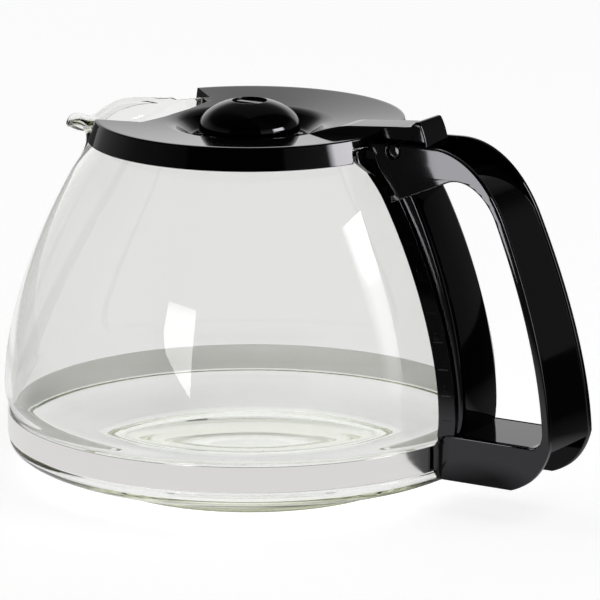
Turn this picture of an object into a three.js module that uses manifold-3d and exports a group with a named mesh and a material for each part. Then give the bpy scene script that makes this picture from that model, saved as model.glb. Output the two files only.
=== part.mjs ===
// Glass coffee carafe with a hinged lid, in millimetres.
// Origin on the jug's axis at the table, +Z up, handle towards +X, pouring lip towards -X.
import * as THREE from 'three';
import { mergeVertices } from 'three/addons/utils/BufferGeometryUtils.js';
import Module from 'manifold-3d';

const wasm = await Module();
wasm.setup();

// Fits shared by the whole assembly
const GAP = 0.3; // between pieces that touch
const HUG_GAP = 0.4; // between the handle and the glass
const ROUND_STEPS = 64; // facets around the large turned shapes
const LIP_GATHER = 0.5; // share by which the jug's facets close up towards the lip

// Glass jug
const GLASS_T = 2.0; // wall
const FLOOR_T = 2.4; // floor over the foot
const FOOT_R = 50.5; // flat foot
const FOOT_H = 4.4; // belly's underside above the table
const BELLY_R = 76.9; // widest radius
const BELLY_Z = 29; // height of the widest radius
const RIM_R = 47.3; // outside of the rim
const RIM_Z = 110.6; // top of the rim
const NECK_H = 14.6; // from the shoulder up to the rim
const NECK_FLARE = 8.4; // shoulder outside the rim
const LIP_SPREAD = THREE.MathUtils.degToRad(28.5); // half of the pouring lip, round the rim
const LIP_SHIFT = 8.8; // how far the neck is drawn out under the lip
const LIP_RISE = 0.5; // crest of the lip above the rim
const LIP_LEAN = THREE.MathUtils.degToRad(42); // slant of the wall where the roll begins
const LIP_ROLL_R = 1.5; // radius under the rolled-over edge
const LIP_TURN = THREE.MathUtils.degToRad(200); // how far the edge is rolled over
const LIP_DIP = 3.2; // channel in the middle of the lip
const LIP_DIP_SPREAD = THREE.MathUtils.degToRad(15); // half of the channel, round the rim
const SHOULDER_R = RIM_R + NECK_FLARE;
const SHOULDER_Z = RIM_Z - NECK_H;

// Steel band in its groove
const BAND_T = 0.6;
const BAND_Z = 17.7; // middle of the band
const BAND_H = 8;
const BAND_INSET = 0.9; // outside of the band within the belly's widest radius
const LEG_Y = 5; // the band's ends run outwards this far each side of the middle
const LEG_L = 13; // outer face of the hooked ends from the band
const BAND_R = BELLY_R - BAND_INSET;
const LEG_END = BAND_R + LEG_L;

// Clamp block and screw
const BLOCK_L = 6;
const BLOCK_H = 7;
const SCREW_R = 2;
const SCREW_HEAD_R = 3.9;
const SCREW_HEAD_H = 2.6;
const SCREW_SHORT = 3; // tip stops this far outside the band
const SCREW_PASS = 0.6; // band's hooks clear of the shank
const SCREW_TIP = BAND_R + SCREW_SHORT;
const HOOK_Y = SCREW_R + SCREW_PASS; // free edge of each hooked end

// Hinge
const PIN_R = 2;
const PIN_SNAP = 0.2; // notch's mouth is this much tighter than the pin
const PIVOT_OUT = 10.8; // pin from the rim, outwards
const PIVOT_UP = 0.2; // pin above the rim
const PIVOT_X = RIM_R + PIVOT_OUT;
const PIVOT_Z = RIM_Z + PIVOT_UP;

// Handle
const HANDLE_LOW_W = 28; // across the walls at their lower edge
const HANDLE_TOP_W = 22; // across the walls at their upper edge
const WALL_T = 2.2;
const WALL_RISE = 2.6; // side walls above the glass rim
const WALL_UNDER = 2.4; // side walls below the band
const GRIP_T = 2.6; // grip strap
const GRIP_OUT = 37.5; // outside of the grip from the belly
const GRIP_SLOPE = 18; // grip's upper end, inwards from its outermost point
const RECESS_L = 17.3; // from the pin to where the recess turns down the grip
const BRIDGE_T = 2.3;
const BRIDGE_OVER = 1.3; // lower bridge above the band
const FLANGE_OUT = 4.3; // flange's outer face from the glass
const RIB_W = 21.6; // at the lower edge, tapering with the walls
const RIB_OUT_LOW = 5.3; // rib's outer face from the glass, lower end
const RIB_OUT_TOP = 9.2; // the same at the upper end
const CORE_W = 15.2; // channel behind the rib
const HOOK_W = 18; // hook over the glass rim
const HOOK_T = 1.4;
const HOOK_DEEP = 4.4; // how far the hook reaches down inside the rim
const CROSS_T = 2.4; // wall that takes the screw
const CROSS_OUT = 3; // that wall's inner face from the band's hooks
const STRAP_INSET = 0.45; // grip strap within the rims of the side walls
const COLLAR_T = 2; // wings that wrap round the neck and the band
const NECK_WING = 3.8; // how far the neck's wings reach beyond the side walls
const NECK_WING_H = 8.2; // from the root of the neck's wings up to the lid
const BAND_WING = 1.5; // how far the band's wings reach beyond the side walls
const INNER_CORNER = 5; // rounding between the grip and the lower bridge
const TOP_Z = RIM_Z + WALL_RISE;
const REACH = BELLY_R + GRIP_OUT;
const BOTTOM_Z = BAND_Z - BAND_H / 2 - WALL_UNDER;
const BRIDGE_Z = BAND_Z + BAND_H / 2 + BRIDGE_OVER + BRIDGE_T; // upper face of the lower bridge
const CROSS_X = LEG_END + CROSS_OUT;

// Drip dome
const DOME_R = 15.75;
const DOME_H = 8.8; // from the widest radius to the crown of the curve
const DOME_T = 1.6;
const DOME_LIFT = 1.8; // widest radius above the floor of the well
const DOME_HOLE_R = 5.4;
const DOME_BAR_W = 2.4;
const DOME_LEG_IN = 2.55; // inner face of the snap legs within the dome's radius
const DOME_LEG_T = 1.2;
const DOME_LEG_W = 4;
const DOME_LEG_R = DOME_R - DOME_LEG_IN;

// Lid
const LID_T = 2.0;
const LID_OVER = 0.8; // upper edge of the skirt outside the glass rim
const LID_RISE = 3.1; // top of the lid above the glass rim
const SKIRT_T = 1.3;
const SKIRT_H = 7;
const SKIRT_FLARE = 2.3; // lower edge of the skirt outside the upper one
const SKIRT_CLEAR = 5.2; // break in the skirt, each side of the handle
const WELL_DROP = 2.3; // well's rim below the lid's edge
const WELL_DEEP = 5.1; // well's floor below the lid's edge
const WELL_LAND = 1.85; // well's floor outside the dome
const WELL_SLOPE = 5.4; // well's rim outside its floor
const SLOT_COUNT = 8;
const SLOT_W = 3.6;
const RING_DEEP = 3.4; // locating ring inside the rim
const RING_T = 1.5;
const BITE_LAND = 4; // plate left between the well and the cut-out over the lip
const BITE_SPREAD = THREE.MathUtils.degToRad(37.8); // cut-out's corners on the edge, from the lip's middle
const ARM_W = 12;
const TAB_W = 13.6;
const TAB_RISE = 6.1; // thumb tab above the lid
const TAB_OUT = 9.3; // outer edge of the thumb tab from the pin
const LID_R = RIM_R + LID_OVER;
const LID_Z = RIM_Z + LID_RISE;
const SKIRT_R = LID_R + SKIRT_FLARE;
const SKIRT_Z = LID_Z - SKIRT_H;
const WELL_FLOOR_R = DOME_R + WELL_LAND;
const WELL_FLOOR_Z = LID_Z - WELL_DEEP;
const WELL_R = WELL_FLOOR_R + WELL_SLOPE; // rim of the well
const DOME_Z = WELL_FLOOR_Z + DOME_LIFT; // height of the dome's widest radius
const BITE_X = WELL_R + BITE_LAND;
const TAB_TOP = LID_Z + TAB_RISE;
const TAB_X = PIVOT_X + TAB_OUT;

const HALF_W = HANDLE_LOW_W / 2;
const CAVITY_Y = HALF_W - WALL_T; // inner face of each side wall
const FAR = 400; // longer than the object, for cutting tools

const v2 = (x, y) => new THREE.Vector2(x, y);

// Closed body from a geometry: shared corners joined, faces turned outwards.
function solid(geometry) {
  const bare = new THREE.BufferGeometry();
  bare.setAttribute('position', geometry.getAttribute('position'));
  bare.setIndex(geometry.index);
  const joined = mergeVertices(bare, 1e-4);
  const points = joined.getAttribute('position').array;
  const corners = joined.index.array;
  const faces = [];
  let volume = 0;
  const [a, b, c] = [new THREE.Vector3(), new THREE.Vector3(), new THREE.Vector3()];
  for (let i = 0; i < corners.length; i += 3) {
    const [p, q, r] = corners.slice(i, i + 3);
    if (p === q || q === r || r === p) continue;
    faces.push([p, q, r]);
    a.fromArray(points, 3 * p);
    b.fromArray(points, 3 * q);
    c.fromArray(points, 3 * r);
    volume += a.dot(b.cross(c));
  }
  const outward = volume > 0 ? faces : faces.map(([p, q, r]) => [p, r, q]);
  return new wasm.Manifold(new wasm.Mesh({
    numProp: 3,
    vertProperties: new Float32Array(points),
    triVerts: new Uint32Array(outward.flat()),
  }));
}

function box(x0, x1, y0, y1, z0, z1) {
  const geometry = new THREE.BoxGeometry(x1 - x0, y1 - y0, z1 - z0);
  geometry.translate((x0 + x1) / 2, (y0 + y1) / 2, (z0 + z1) / 2);
  return solid(geometry);
}

// Turned body: profile points are (radius, height).
function turned(points, steps = ROUND_STEPS) {
  return solid(new THREE.LatheGeometry(points, steps).rotateX(Math.PI / 2));
}

// Side-view outline (x, z) swept across the handle from y0 to y1.
function across(shape, y0, y1, curveSegments = 8) {
  const geometry = new THREE.ExtrudeGeometry(shape, { depth: y1 - y0, bevelEnabled: false, curveSegments });
  return solid(geometry.rotateX(Math.PI / 2).translate(0, y1, 0));
}

// The same for the handle, whose width tapers with height.
const taperAt = (z) => THREE.MathUtils.mapLinear(z, BOTTOM_Z, TOP_Z, 1, HANDLE_TOP_W / HANDLE_LOW_W);
function acrossHandle(shape, y0, y1) {
  const geometry = new THREE.ExtrudeGeometry(shape, { depth: y1 - y0, bevelEnabled: false, curveSegments: 8 });
  geometry.rotateX(Math.PI / 2).translate(0, y1, 0);
  const places = geometry.getAttribute('position');
  for (let i = 0; i < places.count; i += 1) {
    places.setY(i, places.getY(i) * taperAt(places.getZ(i)));
  }
  return solid(geometry);
}

// Plan outline (x, y) swept upwards from z0 to z1.
function upward(shape, z0, z1, curveSegments = 8) {
  const geometry = new THREE.ExtrudeGeometry(shape, { depth: z1 - z0, bevelEnabled: false, curveSegments });
  return solid(geometry.translate(0, 0, z0));
}

// Front outline (y, z) swept outwards from the axis.
function outward(shape) {
  const geometry = new THREE.ExtrudeGeometry(shape, { depth: FAR, bevelEnabled: false });
  return solid(geometry.rotateX(Math.PI / 2).rotateZ(Math.PI / 2));
}

// Rod along X (radius, from x0 to x1) or along Y, centred on the given line.
function rodX(radius, x0, x1, y, z, steps = 24) {
  const geometry = new THREE.CylinderGeometry(radius, radius, x1 - x0, steps).rotateZ(-Math.PI / 2);
  return solid(geometry.translate((x0 + x1) / 2, y, z));
}

function rodY(radius, y0, y1, x, z, steps = 24) {
  const geometry = new THREE.CylinderGeometry(radius, radius, y1 - y0, steps);
  return solid(geometry.translate(x, (y0 + y1) / 2, z));
}

function joined(parts) {
  return parts.reduce((body, part) => body.add(part));
}

function rectangle(x0, x1, y0, y1) {
  return polygon([[x0, y0], [x1, y0], [x1, y1], [x0, y1]]);
}

function polygon(points) {
  return new THREE.Shape(points.map(([x, y]) => v2(x, y)));
}

// Points moved to the left of the direction of travel by a distance.
function shiftedLeft(points, distance) {
  return points.map((point, i) => {
    const before = points[Math.max(i - 1, 0)];
    const after = points[Math.min(i + 1, points.length - 1)];
    const along = after.clone().sub(before).normalize();
    return v2(point.x - along.y * distance, point.y + along.x * distance);
  });
}

// Outside of the glass above the band, as curves of (radius, height).
const bodyCurve = new THREE.CubicBezierCurve(
  v2(BELLY_R, BELLY_Z),
  v2(BELLY_R, BELLY_Z + 18),
  v2(SHOULDER_R + 13, SHOULDER_Z - 22.5),
  v2(SHOULDER_R, SHOULDER_Z),
);
// Outside of the neck at an angle from the lip's middle. Along the lip the wall slants out and rolls
// over, with its crest near the level of the rim but for the channel at the tip.
function neckPath(offLip) {
  const spread = (1 - Math.min(offLip / LIP_SPREAD, 1) ** 4) ** 1.5;
  const dip = LIP_DIP * Math.cos((Math.PI / 2) * Math.min(offLip / LIP_DIP_SPREAD, 1)) ** 2;
  const [lean, turn] = [spread * LIP_LEAN, spread * LIP_TURN];
  const crest = (LIP_ROLL_R + GLASS_T) * Math.sin(Math.min(turn, Math.PI / 2));
  const rollX = RIM_R + spread * LIP_SHIFT + LIP_ROLL_R;
  const rollZ = RIM_Z + spread * LIP_RISE - Math.max(GLASS_T / 2, crest) - dip;
  const foot = v2(rollX - LIP_ROLL_R * Math.cos(lean), rollZ + LIP_ROLL_R * Math.sin(lean));
  const path = new THREE.Path();
  path.moveTo(SHOULDER_R, SHOULDER_Z);
  path.bezierCurveTo(
    SHOULDER_R - 0.42 * NECK_FLARE,
    SHOULDER_Z + 0.41 * NECK_H,
    foot.x - 0.33 * NECK_H * Math.sin(lean),
    foot.y - 0.33 * NECK_H * Math.cos(lean),
    foot.x,
    foot.y,
  );
  if (turn > 0) path.absarc(rollX, rollZ, LIP_ROLL_R, Math.PI - lean, Math.PI - turn, true);
  return path;
}

const BODY_STEPS = 7;
const NECK_STEPS = 11;
const CORNER_STEPS = 4;
const bodyPoints = bodyCurve.getPoints(BODY_STEPS);
const neckPoints = neckWall(Math.PI);

// Points along the neck's outside, closer together towards the rim.
function neckWall(offLip) {
  const path = neckPath(offLip);
  return Array.from({ length: NECK_STEPS + 1 }, (_, i) => path.getPointAt(1 - (1 - i / NECK_STEPS) ** 1.7));
}

const bandTop = BAND_Z + BAND_H / 2;
const bandLow = BAND_Z - BAND_H / 2;
const grooveR = BAND_R - BAND_T - GAP;
const cornerZ = bandLow - 3 * GAP; // where the belly turns under
const cornerR = BAND_R - GAP;

// Radius of the glass outside at a height.
function glassR(z) {
  const line = [v2(cornerR, cornerZ), ...bodyPoints, ...neckPoints.slice(1)];
  const next = line.findIndex((point) => point.y >= z);
  if (next <= 0) return next === 0 ? line[0].x : RIM_R;
  const [low, high] = [line[next - 1], line[next]];
  return THREE.MathUtils.mapLinear(z, low.y, high.y, low.x, high.x);
}

// Quarter ellipse from the belly's edge inwards under the jug.
function cornerPoints(r, z, wide, deep) {
  const curve = new THREE.EllipseCurve(r - wide, z, wide, deep, 0, -Math.PI / 2, true);
  return curve.getPoints(CORNER_STEPS);
}

// Outer points going up, a fire-rounded edge, then the inner points coming down.
function wallWithEdge(outer) {
  const inner = shiftedLeft(outer, GLASS_T);
  const [end, back] = [outer.at(-1), inner.at(-1)];
  const along = end.clone().sub(outer.at(-2)).normalize().multiplyScalar(0.43 * GLASS_T);
  const edge = [0.25, 0.75].map((share) => end.clone().lerp(back, share).add(along));
  return [...outer, ...edge, ...inner.reverse()];
}

function makeJug() {
  const under = cornerPoints(cornerR, cornerZ, cornerR - FOOT_R - 1, cornerZ - FOOT_H);
  const inside = cornerPoints(cornerR - GLASS_T, cornerZ, cornerR - FOOT_R - 1, cornerZ - FOOT_H - GLASS_T);
  const outside = [
    v2(0, 0),
    v2(FOOT_R - 1, 0),
    v2(FOOT_R, 1),
    v2(FOOT_R, FOOT_H - 0.8),
    ...under.reverse(),
    v2(grooveR, bandLow - GAP),
    v2(grooveR, bandTop + GAP),
    v2(glassR(bandTop + 1), bandTop + 1),
  ];
  const plain = wallWithEdge(neckPoints);
  const innerBody = shiftedLeft(bodyPoints, GLASS_T).reverse().slice(1);
  const innerFoot = [
    ...inside,
    v2(FOOT_R - GLASS_T, FOOT_H - 0.6),
    v2(FOOT_R - GLASS_T - 2, FLOOR_T),
    v2(0, FLOOR_T),
  ];
  const profile = [...outside, ...bodyPoints.slice(0, -1), ...plain, ...innerBody, ...innerFoot];
  const first = outside.length + bodyPoints.length - 1;
  const geometry = new THREE.LatheGeometry(profile, ROUND_STEPS).rotateX(Math.PI / 2);
  const places = geometry.getAttribute('position');
  for (let turn = 0; turn <= ROUND_STEPS; turn += 1) {
    const start = turn * profile.length;
    const even = Math.atan2(places.getY(start + first), places.getX(start + first));
    const angle = even + LIP_GATHER * Math.sin(even);
    const neck = wallWithEdge(neckWall(Math.PI - Math.abs(angle)));
    const column = [...profile.slice(0, first), ...neck, ...profile.slice(first + plain.length)];
    column.forEach(({ x, y }, i) => places.setXYZ(start + i, x * Math.cos(angle), x * Math.sin(angle), y));
  }
  return solid(geometry);
}

// Open ring whose ends bend outwards into two legs with hooked tips.
function makeBand() {
  const inner = BAND_R - BAND_T;
  const [legIn, legOut] = [LEG_Y - BAND_T / 2, LEG_Y + BAND_T / 2];
  const innerTurn = Math.asin(legIn / inner);
  const outerTurn = Math.asin(legOut / BAND_R);
  const shape = new THREE.Shape();
  shape.moveTo(LEG_END, HOOK_Y);
  shape.lineTo(LEG_END, legOut);
  shape.lineTo(BAND_R * Math.cos(outerTurn), legOut);
  shape.absarc(0, 0, BAND_R, outerTurn, -outerTurn, false);
  shape.lineTo(LEG_END, -legOut);
  shape.lineTo(LEG_END, -HOOK_Y);
  shape.lineTo(LEG_END - BAND_T, -HOOK_Y);
  shape.lineTo(LEG_END - BAND_T, -legIn);
  shape.lineTo(inner * Math.cos(innerTurn), -legIn);
  shape.absarc(0, 0, inner, -innerTurn, innerTurn, true);
  shape.lineTo(LEG_END - BAND_T, legIn);
  shape.lineTo(LEG_END - BAND_T, HOOK_Y);
  return upward(shape, bandLow, bandTop, ROUND_STEPS);
}

function makeClampBlock() {
  const x1 = LEG_END - BAND_T - GAP;
  const y = LEG_Y - BAND_T / 2 - GAP;
  const body = box(x1 - BLOCK_L, x1, -y, y, BAND_Z - BLOCK_H / 2, BAND_Z + BLOCK_H / 2);
  return body.subtract(rodX(SCREW_R + GAP, 0, FAR, 0, BAND_Z));
}

function makeScrew() {
  const seat = CROSS_X + CROSS_T + GAP;
  const rim = seat + 0.55 * SCREW_HEAD_H;
  const end = seat + SCREW_HEAD_H;
  const outline = [
    v2(0, SCREW_TIP),
    v2(SCREW_R - 0.6, SCREW_TIP),
    v2(SCREW_R, SCREW_TIP + 0.6),
    v2(SCREW_R, seat),
    v2(SCREW_HEAD_R, seat),
    v2(SCREW_HEAD_R, rim),
    v2(0.75 * SCREW_HEAD_R, end),
    v2(0, end),
  ];
  const turnedUp = new THREE.LatheGeometry(outline, 24).rotateZ(-Math.PI / 2).translate(0, 0, BAND_Z);
  const [long, wide, deep] = [0.55 * SCREW_HEAD_R, 0.14 * SCREW_HEAD_R, end - 0.5 * SCREW_HEAD_H];
  const upright = box(deep, FAR, -wide, wide, BAND_Z - long, BAND_Z + long);
  const level = box(deep, FAR, -long, long, BAND_Z - wide, BAND_Z + wide);
  return solid(turnedUp).subtract(upright.add(level));
}

// Where the grip's outside starts below the shoulder of the handle.
const gripTop = v2(REACH - GRIP_SLOPE, TOP_Z - 20.2);
const gripEnd = v2(REACH, BRIDGE_Z + 0.7);

function addGripOutside(shape, shift) {
  shape.bezierCurveTo(
    gripTop.x + 8.8 - shift,
    gripTop.y - 20.2,
    REACH - 0.8 - shift,
    gripEnd.y + 22,
    gripEnd.x - shift,
    gripEnd.y,
  );
}

// Outer faces of the flange and of the rib at a height.
const flangeFace = (z) => glassR(z) + FLANGE_OUT;
const bridgeEnd = v2(PIVOT_X + RECESS_L, TOP_Z - 10.8); // where the upper bridge's underside levels off
const rootZ = TOP_Z - 17.4; // where the upper bridge meets the column
const columnHeights = Array.from({ length: 9 }, (_, i) => THREE.MathUtils.lerp(BRIDGE_Z, rootZ, i / 8));
function ribFace(z) {
  const out = THREE.MathUtils.mapLinear(z, BRIDGE_Z, rootZ, RIB_OUT_LOW, RIB_OUT_TOP);
  return glassR(z) + out;
}

// Finger opening in side view; the column side is the flange's outer face.
function fingerHole() {
  const hole = new THREE.Shape();
  hole.moveTo(flangeFace(rootZ), rootZ);
  hole.lineTo(bridgeEnd.x, bridgeEnd.y);
  hole.bezierCurveTo(
    bridgeEnd.x + 7.2,
    bridgeEnd.y + 4.2,
    gripTop.x - GRIP_T - 3.2,
    gripTop.y + 7.4,
    gripTop.x - GRIP_T,
    gripTop.y,
  );
  addGripOutside(hole, GRIP_T);
  hole.lineTo(gripEnd.x - GRIP_T, BRIDGE_Z);
  hole.lineTo(flangeFace(BRIDGE_Z), BRIDGE_Z);
  columnHeights.slice(1, -1).forEach((z) => hole.lineTo(flangeFace(z), z));
  return hole;
}

function sideWallShape() {
  const shape = new THREE.Shape();
  const front = RIM_R + HUG_GAP;
  const clear = LID_R + 3 * HUG_GAP; // behind the lid's edge
  shape.moveTo(front, RIM_Z);
  shape.lineTo(clear, RIM_Z);
  shape.lineTo(clear, TOP_Z - 1);
  shape.lineTo(PIVOT_X, TOP_Z - 0.5);
  shape.lineTo(bridgeEnd.x - 5, TOP_Z);
  shape.bezierCurveTo(bridgeEnd.x + 7, TOP_Z, gripTop.x - 5, gripTop.y + 11, gripTop.x, gripTop.y);
  addGripOutside(shape, 0);
  shape.quadraticCurveTo(REACH - 2.8, BOTTOM_Z + 3.4, REACH - 13, BOTTOM_Z);
  shape.lineTo(front, BOTTOM_Z);
  return shape;
}

// Strap of the grip, running on as the floor of the recess under the thumb tab.
function strapShape() {
  const shape = new THREE.Shape();
  const floor = 2.4;
  shape.moveTo(flangeFace(rootZ) - 8, rootZ - 4.2);
  shape.lineTo(flangeFace(rootZ), rootZ);
  shape.lineTo(bridgeEnd.x, bridgeEnd.y);
  shape.bezierCurveTo(
    bridgeEnd.x + 7.2,
    bridgeEnd.y + 4.2,
    gripTop.x - GRIP_T - 3.2,
    gripTop.y + 7.4,
    gripTop.x - GRIP_T,
    gripTop.y,
  );
  addGripOutside(shape, GRIP_T);
  shape.lineTo(gripEnd.x - GRIP_T, BRIDGE_Z - BRIDGE_T);
  shape.lineTo(gripEnd.x - STRAP_INSET - 0.1, BRIDGE_Z - 0.9);
  shape.lineTo(gripEnd.x - STRAP_INSET, gripEnd.y);
  shape.bezierCurveTo(
    REACH - 0.8 - STRAP_INSET,
    gripEnd.y + 22,
    gripTop.x + 8.8 - STRAP_INSET,
    gripTop.y - 20.2,
    gripTop.x - STRAP_INSET,
    gripTop.y,
  );
  shape.bezierCurveTo(
    gripTop.x - 3.6,
    gripTop.y + 8.4,
    bridgeEnd.x + 6.2,
    bridgeEnd.y + 6.4,
    bridgeEnd.x - floor / 2,
    bridgeEnd.y + 0.85 * floor,
  );
  shape.lineTo(flangeFace(rootZ) - floor / 2, rootZ + 0.85 * floor);
  shape.lineTo(flangeFace(rootZ) - 8, rootZ + 0.85 * floor - 4.2);
  return shape;
}

// Rounding between the grip's strap and the lower bridge.
function innerCorner() {
  const x = gripEnd.x - GRIP_T;
  const shape = new THREE.Shape();
  shape.moveTo(x + 0.6, BRIDGE_Z - 0.6);
  shape.lineTo(x + 0.6, BRIDGE_Z + INNER_CORNER);
  shape.lineTo(x - 0.3, BRIDGE_Z + INNER_CORNER);
  shape.quadraticCurveTo(x, BRIDGE_Z, x - INNER_CORNER, BRIDGE_Z);
  shape.lineTo(x - INNER_CORNER, BRIDGE_Z - 0.6);
  return shape;
}

// Wings that carry the side walls a little way round the neck and round the band.
function wings() {
  const neckTop = RIM_Z - HUG_GAP;
  const neckLow = neckTop - NECK_WING_H;
  const neckOut = HALF_W * taperAt(neckTop);
  const heights = Array.from({ length: 5 }, (_, i) => THREE.MathUtils.lerp(neckLow, neckTop, i / 4));
  const neck = [v2(RIM_R - GLASS_T / 2, neckLow)];
  heights.forEach((z) => neck.push(v2(glassR(z) + HUG_GAP + COLLAR_T, z)));
  neck.push(v2(RIM_R - GLASS_T / 2, neckTop), neck[0]);
  const neckFront = [[-neckOut + 1, neckLow], [neckOut - 1, neckLow]];
  neckFront.push([neckOut + NECK_WING, neckTop - 3.4], [neckOut + NECK_WING, neckTop]);
  neckFront.push([-neckOut - NECK_WING, neckTop], [-neckOut - NECK_WING, neckTop - 3.4]);
  const bandOut = BAND_R + HUG_GAP + COLLAR_T;
  const bandHigh = BRIDGE_Z - BRIDGE_T + 0.4;
  const band = [v2(grooveR, BOTTOM_Z), v2(bandOut, BOTTOM_Z), v2(bandOut, bandHigh), v2(grooveR, bandHigh)];
  const side = HALF_W + BAND_WING;
  const bandFront = [[-HALF_W, BOTTOM_Z + 0.3], [HALF_W, BOTTOM_Z + 0.3], [side, BOTTOM_Z + 2.6]];
  bandFront.push([side, bandHigh - 0.8], [side - 0.8, bandHigh], [0.8 - side, bandHigh]);
  bandFront.push([-side, bandHigh - 0.8], [-side, BOTTOM_Z + 2.6]);
  return [
    turned(neck).intersect(outward(polygon(neckFront))),
    turned([...band, band[0]]).intersect(outward(polygon(bandFront))),
  ];
}

// Glass with clearance around it, for hollowing the handle.
function glassEnvelope() {
  const outer = [v2(cornerR, cornerZ), ...bodyPoints, ...neckPoints.slice(1)];
  const grown = shiftedLeft(outer, -HUG_GAP);
  const inner = RIM_R - GLASS_T - HUG_GAP;
  const bandClear = Math.max(BAND_R, glassR(bandTop)) + HUG_GAP;
  return turned([
    v2(0, -10),
    v2(FOOT_R, -10),
    v2(bandClear, cornerZ - 3),
    v2(bandClear, bandTop),
    ...grown.slice(1),
    v2(RIM_R + HUG_GAP, RIM_Z + GAP),
    v2(inner, RIM_Z + GAP),
    v2(inner, SHOULDER_Z),
    v2(0, SHOULDER_Z),
  ]);
}

// Short hook that drops over the rim between the two side walls.
function rimHook() {
  const inner = RIM_R - GLASS_T - HUG_GAP;
  const top = RIM_Z + GAP + HOOK_T;
  const ring = turned([
    v2(inner - HOOK_T, RIM_Z - HOOK_DEEP),
    v2(RIM_R + HUG_GAP + 2, RIM_Z - HOOK_DEEP),
    v2(RIM_R + HUG_GAP + 2, top),
    v2(inner - HOOK_T, top),
    v2(inner - HOOK_T, RIM_Z - HOOK_DEEP),
  ]);
  return ring.intersect(box(0, FAR, -HOOK_W / 2, HOOK_W / 2, 0, FAR));
}

// Flange along the glass, from the lower edge up to the end wall of the recess.
function columnParts() {
  const deep = BAND_R - 12;
  const flange = [[deep, BOTTOM_Z], [flangeFace(BRIDGE_Z), BOTTOM_Z]];
  columnHeights.forEach((z) => flange.push([flangeFace(z), z]));
  flange.push([flangeFace(rootZ) - 12, rootZ], [flangeFace(rootZ) - 12, rootZ - 20]);
  const rib = [[deep, BRIDGE_Z - 1]];
  columnHeights.forEach((z) => rib.push([ribFace(z), z]));
  rib.push([flangeFace(rootZ) - 12, rootZ + 1.5], [flangeFace(rootZ) - 12, rootZ - 20]);
  return [
    acrossHandle(polygon(flange), -HALF_W, HALF_W),
    acrossHandle(polygon(rib), -RIB_W / 2, RIB_W / 2),
  ];
}

// Wall between the recess and the glass, carrying the hook.
function recessEndWall() {
  const thick = HUG_GAP + 2.4;
  const heights = [rootZ - 3, rootZ + 3, rootZ + 7, RIM_Z - 1];
  const outline = [[RIM_R - 1.5, rootZ - 3]];
  heights.forEach((z) => outline.push([glassR(z) + thick, z]));
  outline.push([RIM_R + thick, RIM_Z], [RIM_R - 1.5, RIM_Z]);
  return acrossHandle(polygon(outline), -CAVITY_Y - 0.5, CAVITY_Y + 0.5);
}

// Channel that keeps the column an even wall, open towards the glass.
function columnCore() {
  const wall = 2.4;
  const low = BRIDGE_Z + 2;
  const high = rootZ - 2.5;
  const outline = [[RIM_R, low]];
  for (let i = 0; i <= 6; i += 1) {
    const z = THREE.MathUtils.lerp(low, high, i / 6);
    outline.push([ribFace(z) - wall, z]);
  }
  outline.push([RIM_R, high]);
  return acrossHandle(polygon(outline), -CORE_W / 2, CORE_W / 2);
}

function hingeNotch() {
  const seat = rodY(PIN_R + GAP, -FAR, FAR, PIVOT_X, PIVOT_Z);
  const mouth = PIN_R - PIN_SNAP / 2;
  return seat.add(box(PIVOT_X - mouth, PIVOT_X + mouth, -FAR, FAR, PIVOT_Z, FAR));
}

function makeHandle() {
  const wall = acrossHandle(sideWallShape(), -HALF_W, -CAVITY_Y).subtract(across(fingerHole(), -FAR, FAR));
  const full = HALF_W - 0.01;
  const bridge = rectangle(BAND_R - 6, gripEnd.x - GRIP_T / 2, BRIDGE_Z - BRIDGE_T, BRIDGE_Z);
  const crossWall = rectangle(CROSS_X, CROSS_X + CROSS_T, BOTTOM_Z + 1, BRIDGE_Z - 1);
  const parts = [
    wall,
    wall.mirror([0, 1, 0]),
    acrossHandle(strapShape(), -full, full),
    acrossHandle(bridge, -full, full),
    acrossHandle(innerCorner(), -full, full),
    acrossHandle(crossWall, -CAVITY_Y - 0.5, CAVITY_Y + 0.5),
    ...columnParts(),
    ...wings(),
    recessEndWall(),
    rimHook(),
  ];
  const legs = LEG_Y + BAND_T / 2 + HUG_GAP;
  const window = box(0, CROSS_X - 2, -legs, legs, bandLow - HUG_GAP, bandTop + HUG_GAP);
  return joined(parts)
    .subtract(glassEnvelope())
    .subtract(columnCore())
    .subtract(window)
    .subtract(rodX(SCREW_R + GAP, CROSS_X - 1, CROSS_X + CROSS_T + 1, 0, BAND_Z))
    .subtract(hingeNotch());
}

// Lid's plate, well, skirt and locating ring as one turned section.
function lidSection() {
  const wellZ = LID_Z - WELL_DROP;
  const floorLow = WELL_FLOOR_Z - LID_T + 0.4;
  const seat = RIM_Z + HUG_GAP;
  const ringR = RIM_R - GLASS_T - HUG_GAP;
  const slope = (SKIRT_R - LID_R) / (LID_Z - SKIRT_Z);
  const skirtIn = (z) => LID_R + (LID_Z - z) * slope - SKIRT_T;
  return [
    v2(0, WELL_FLOOR_Z),
    v2(WELL_FLOOR_R, WELL_FLOOR_Z),
    v2(WELL_R - 1.8, wellZ - 0.9),
    v2(WELL_R - 0.6, wellZ - 0.1),
    v2(WELL_R + 1, wellZ + 0.15),
    v2(LID_R - 0.9, LID_Z - 0.05),
    v2(LID_R - 0.25, LID_Z - 0.2),
    v2(LID_R + 0.15, LID_Z - 0.8),
    v2(SKIRT_R, SKIRT_Z),
    v2(SKIRT_R - SKIRT_T, SKIRT_Z),
    v2(skirtIn(seat), seat),
    v2(ringR, seat),
    v2(ringR, seat - RING_DEEP),
    v2(ringR - RING_T, seat - RING_DEEP),
    v2(ringR - RING_T, LID_Z - LID_T - 0.5),
    v2(WELL_R + 1, wellZ - LID_T),
    v2(WELL_FLOOR_R + 1.4, floorLow),
    v2(0, floorLow),
  ];
}

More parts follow.
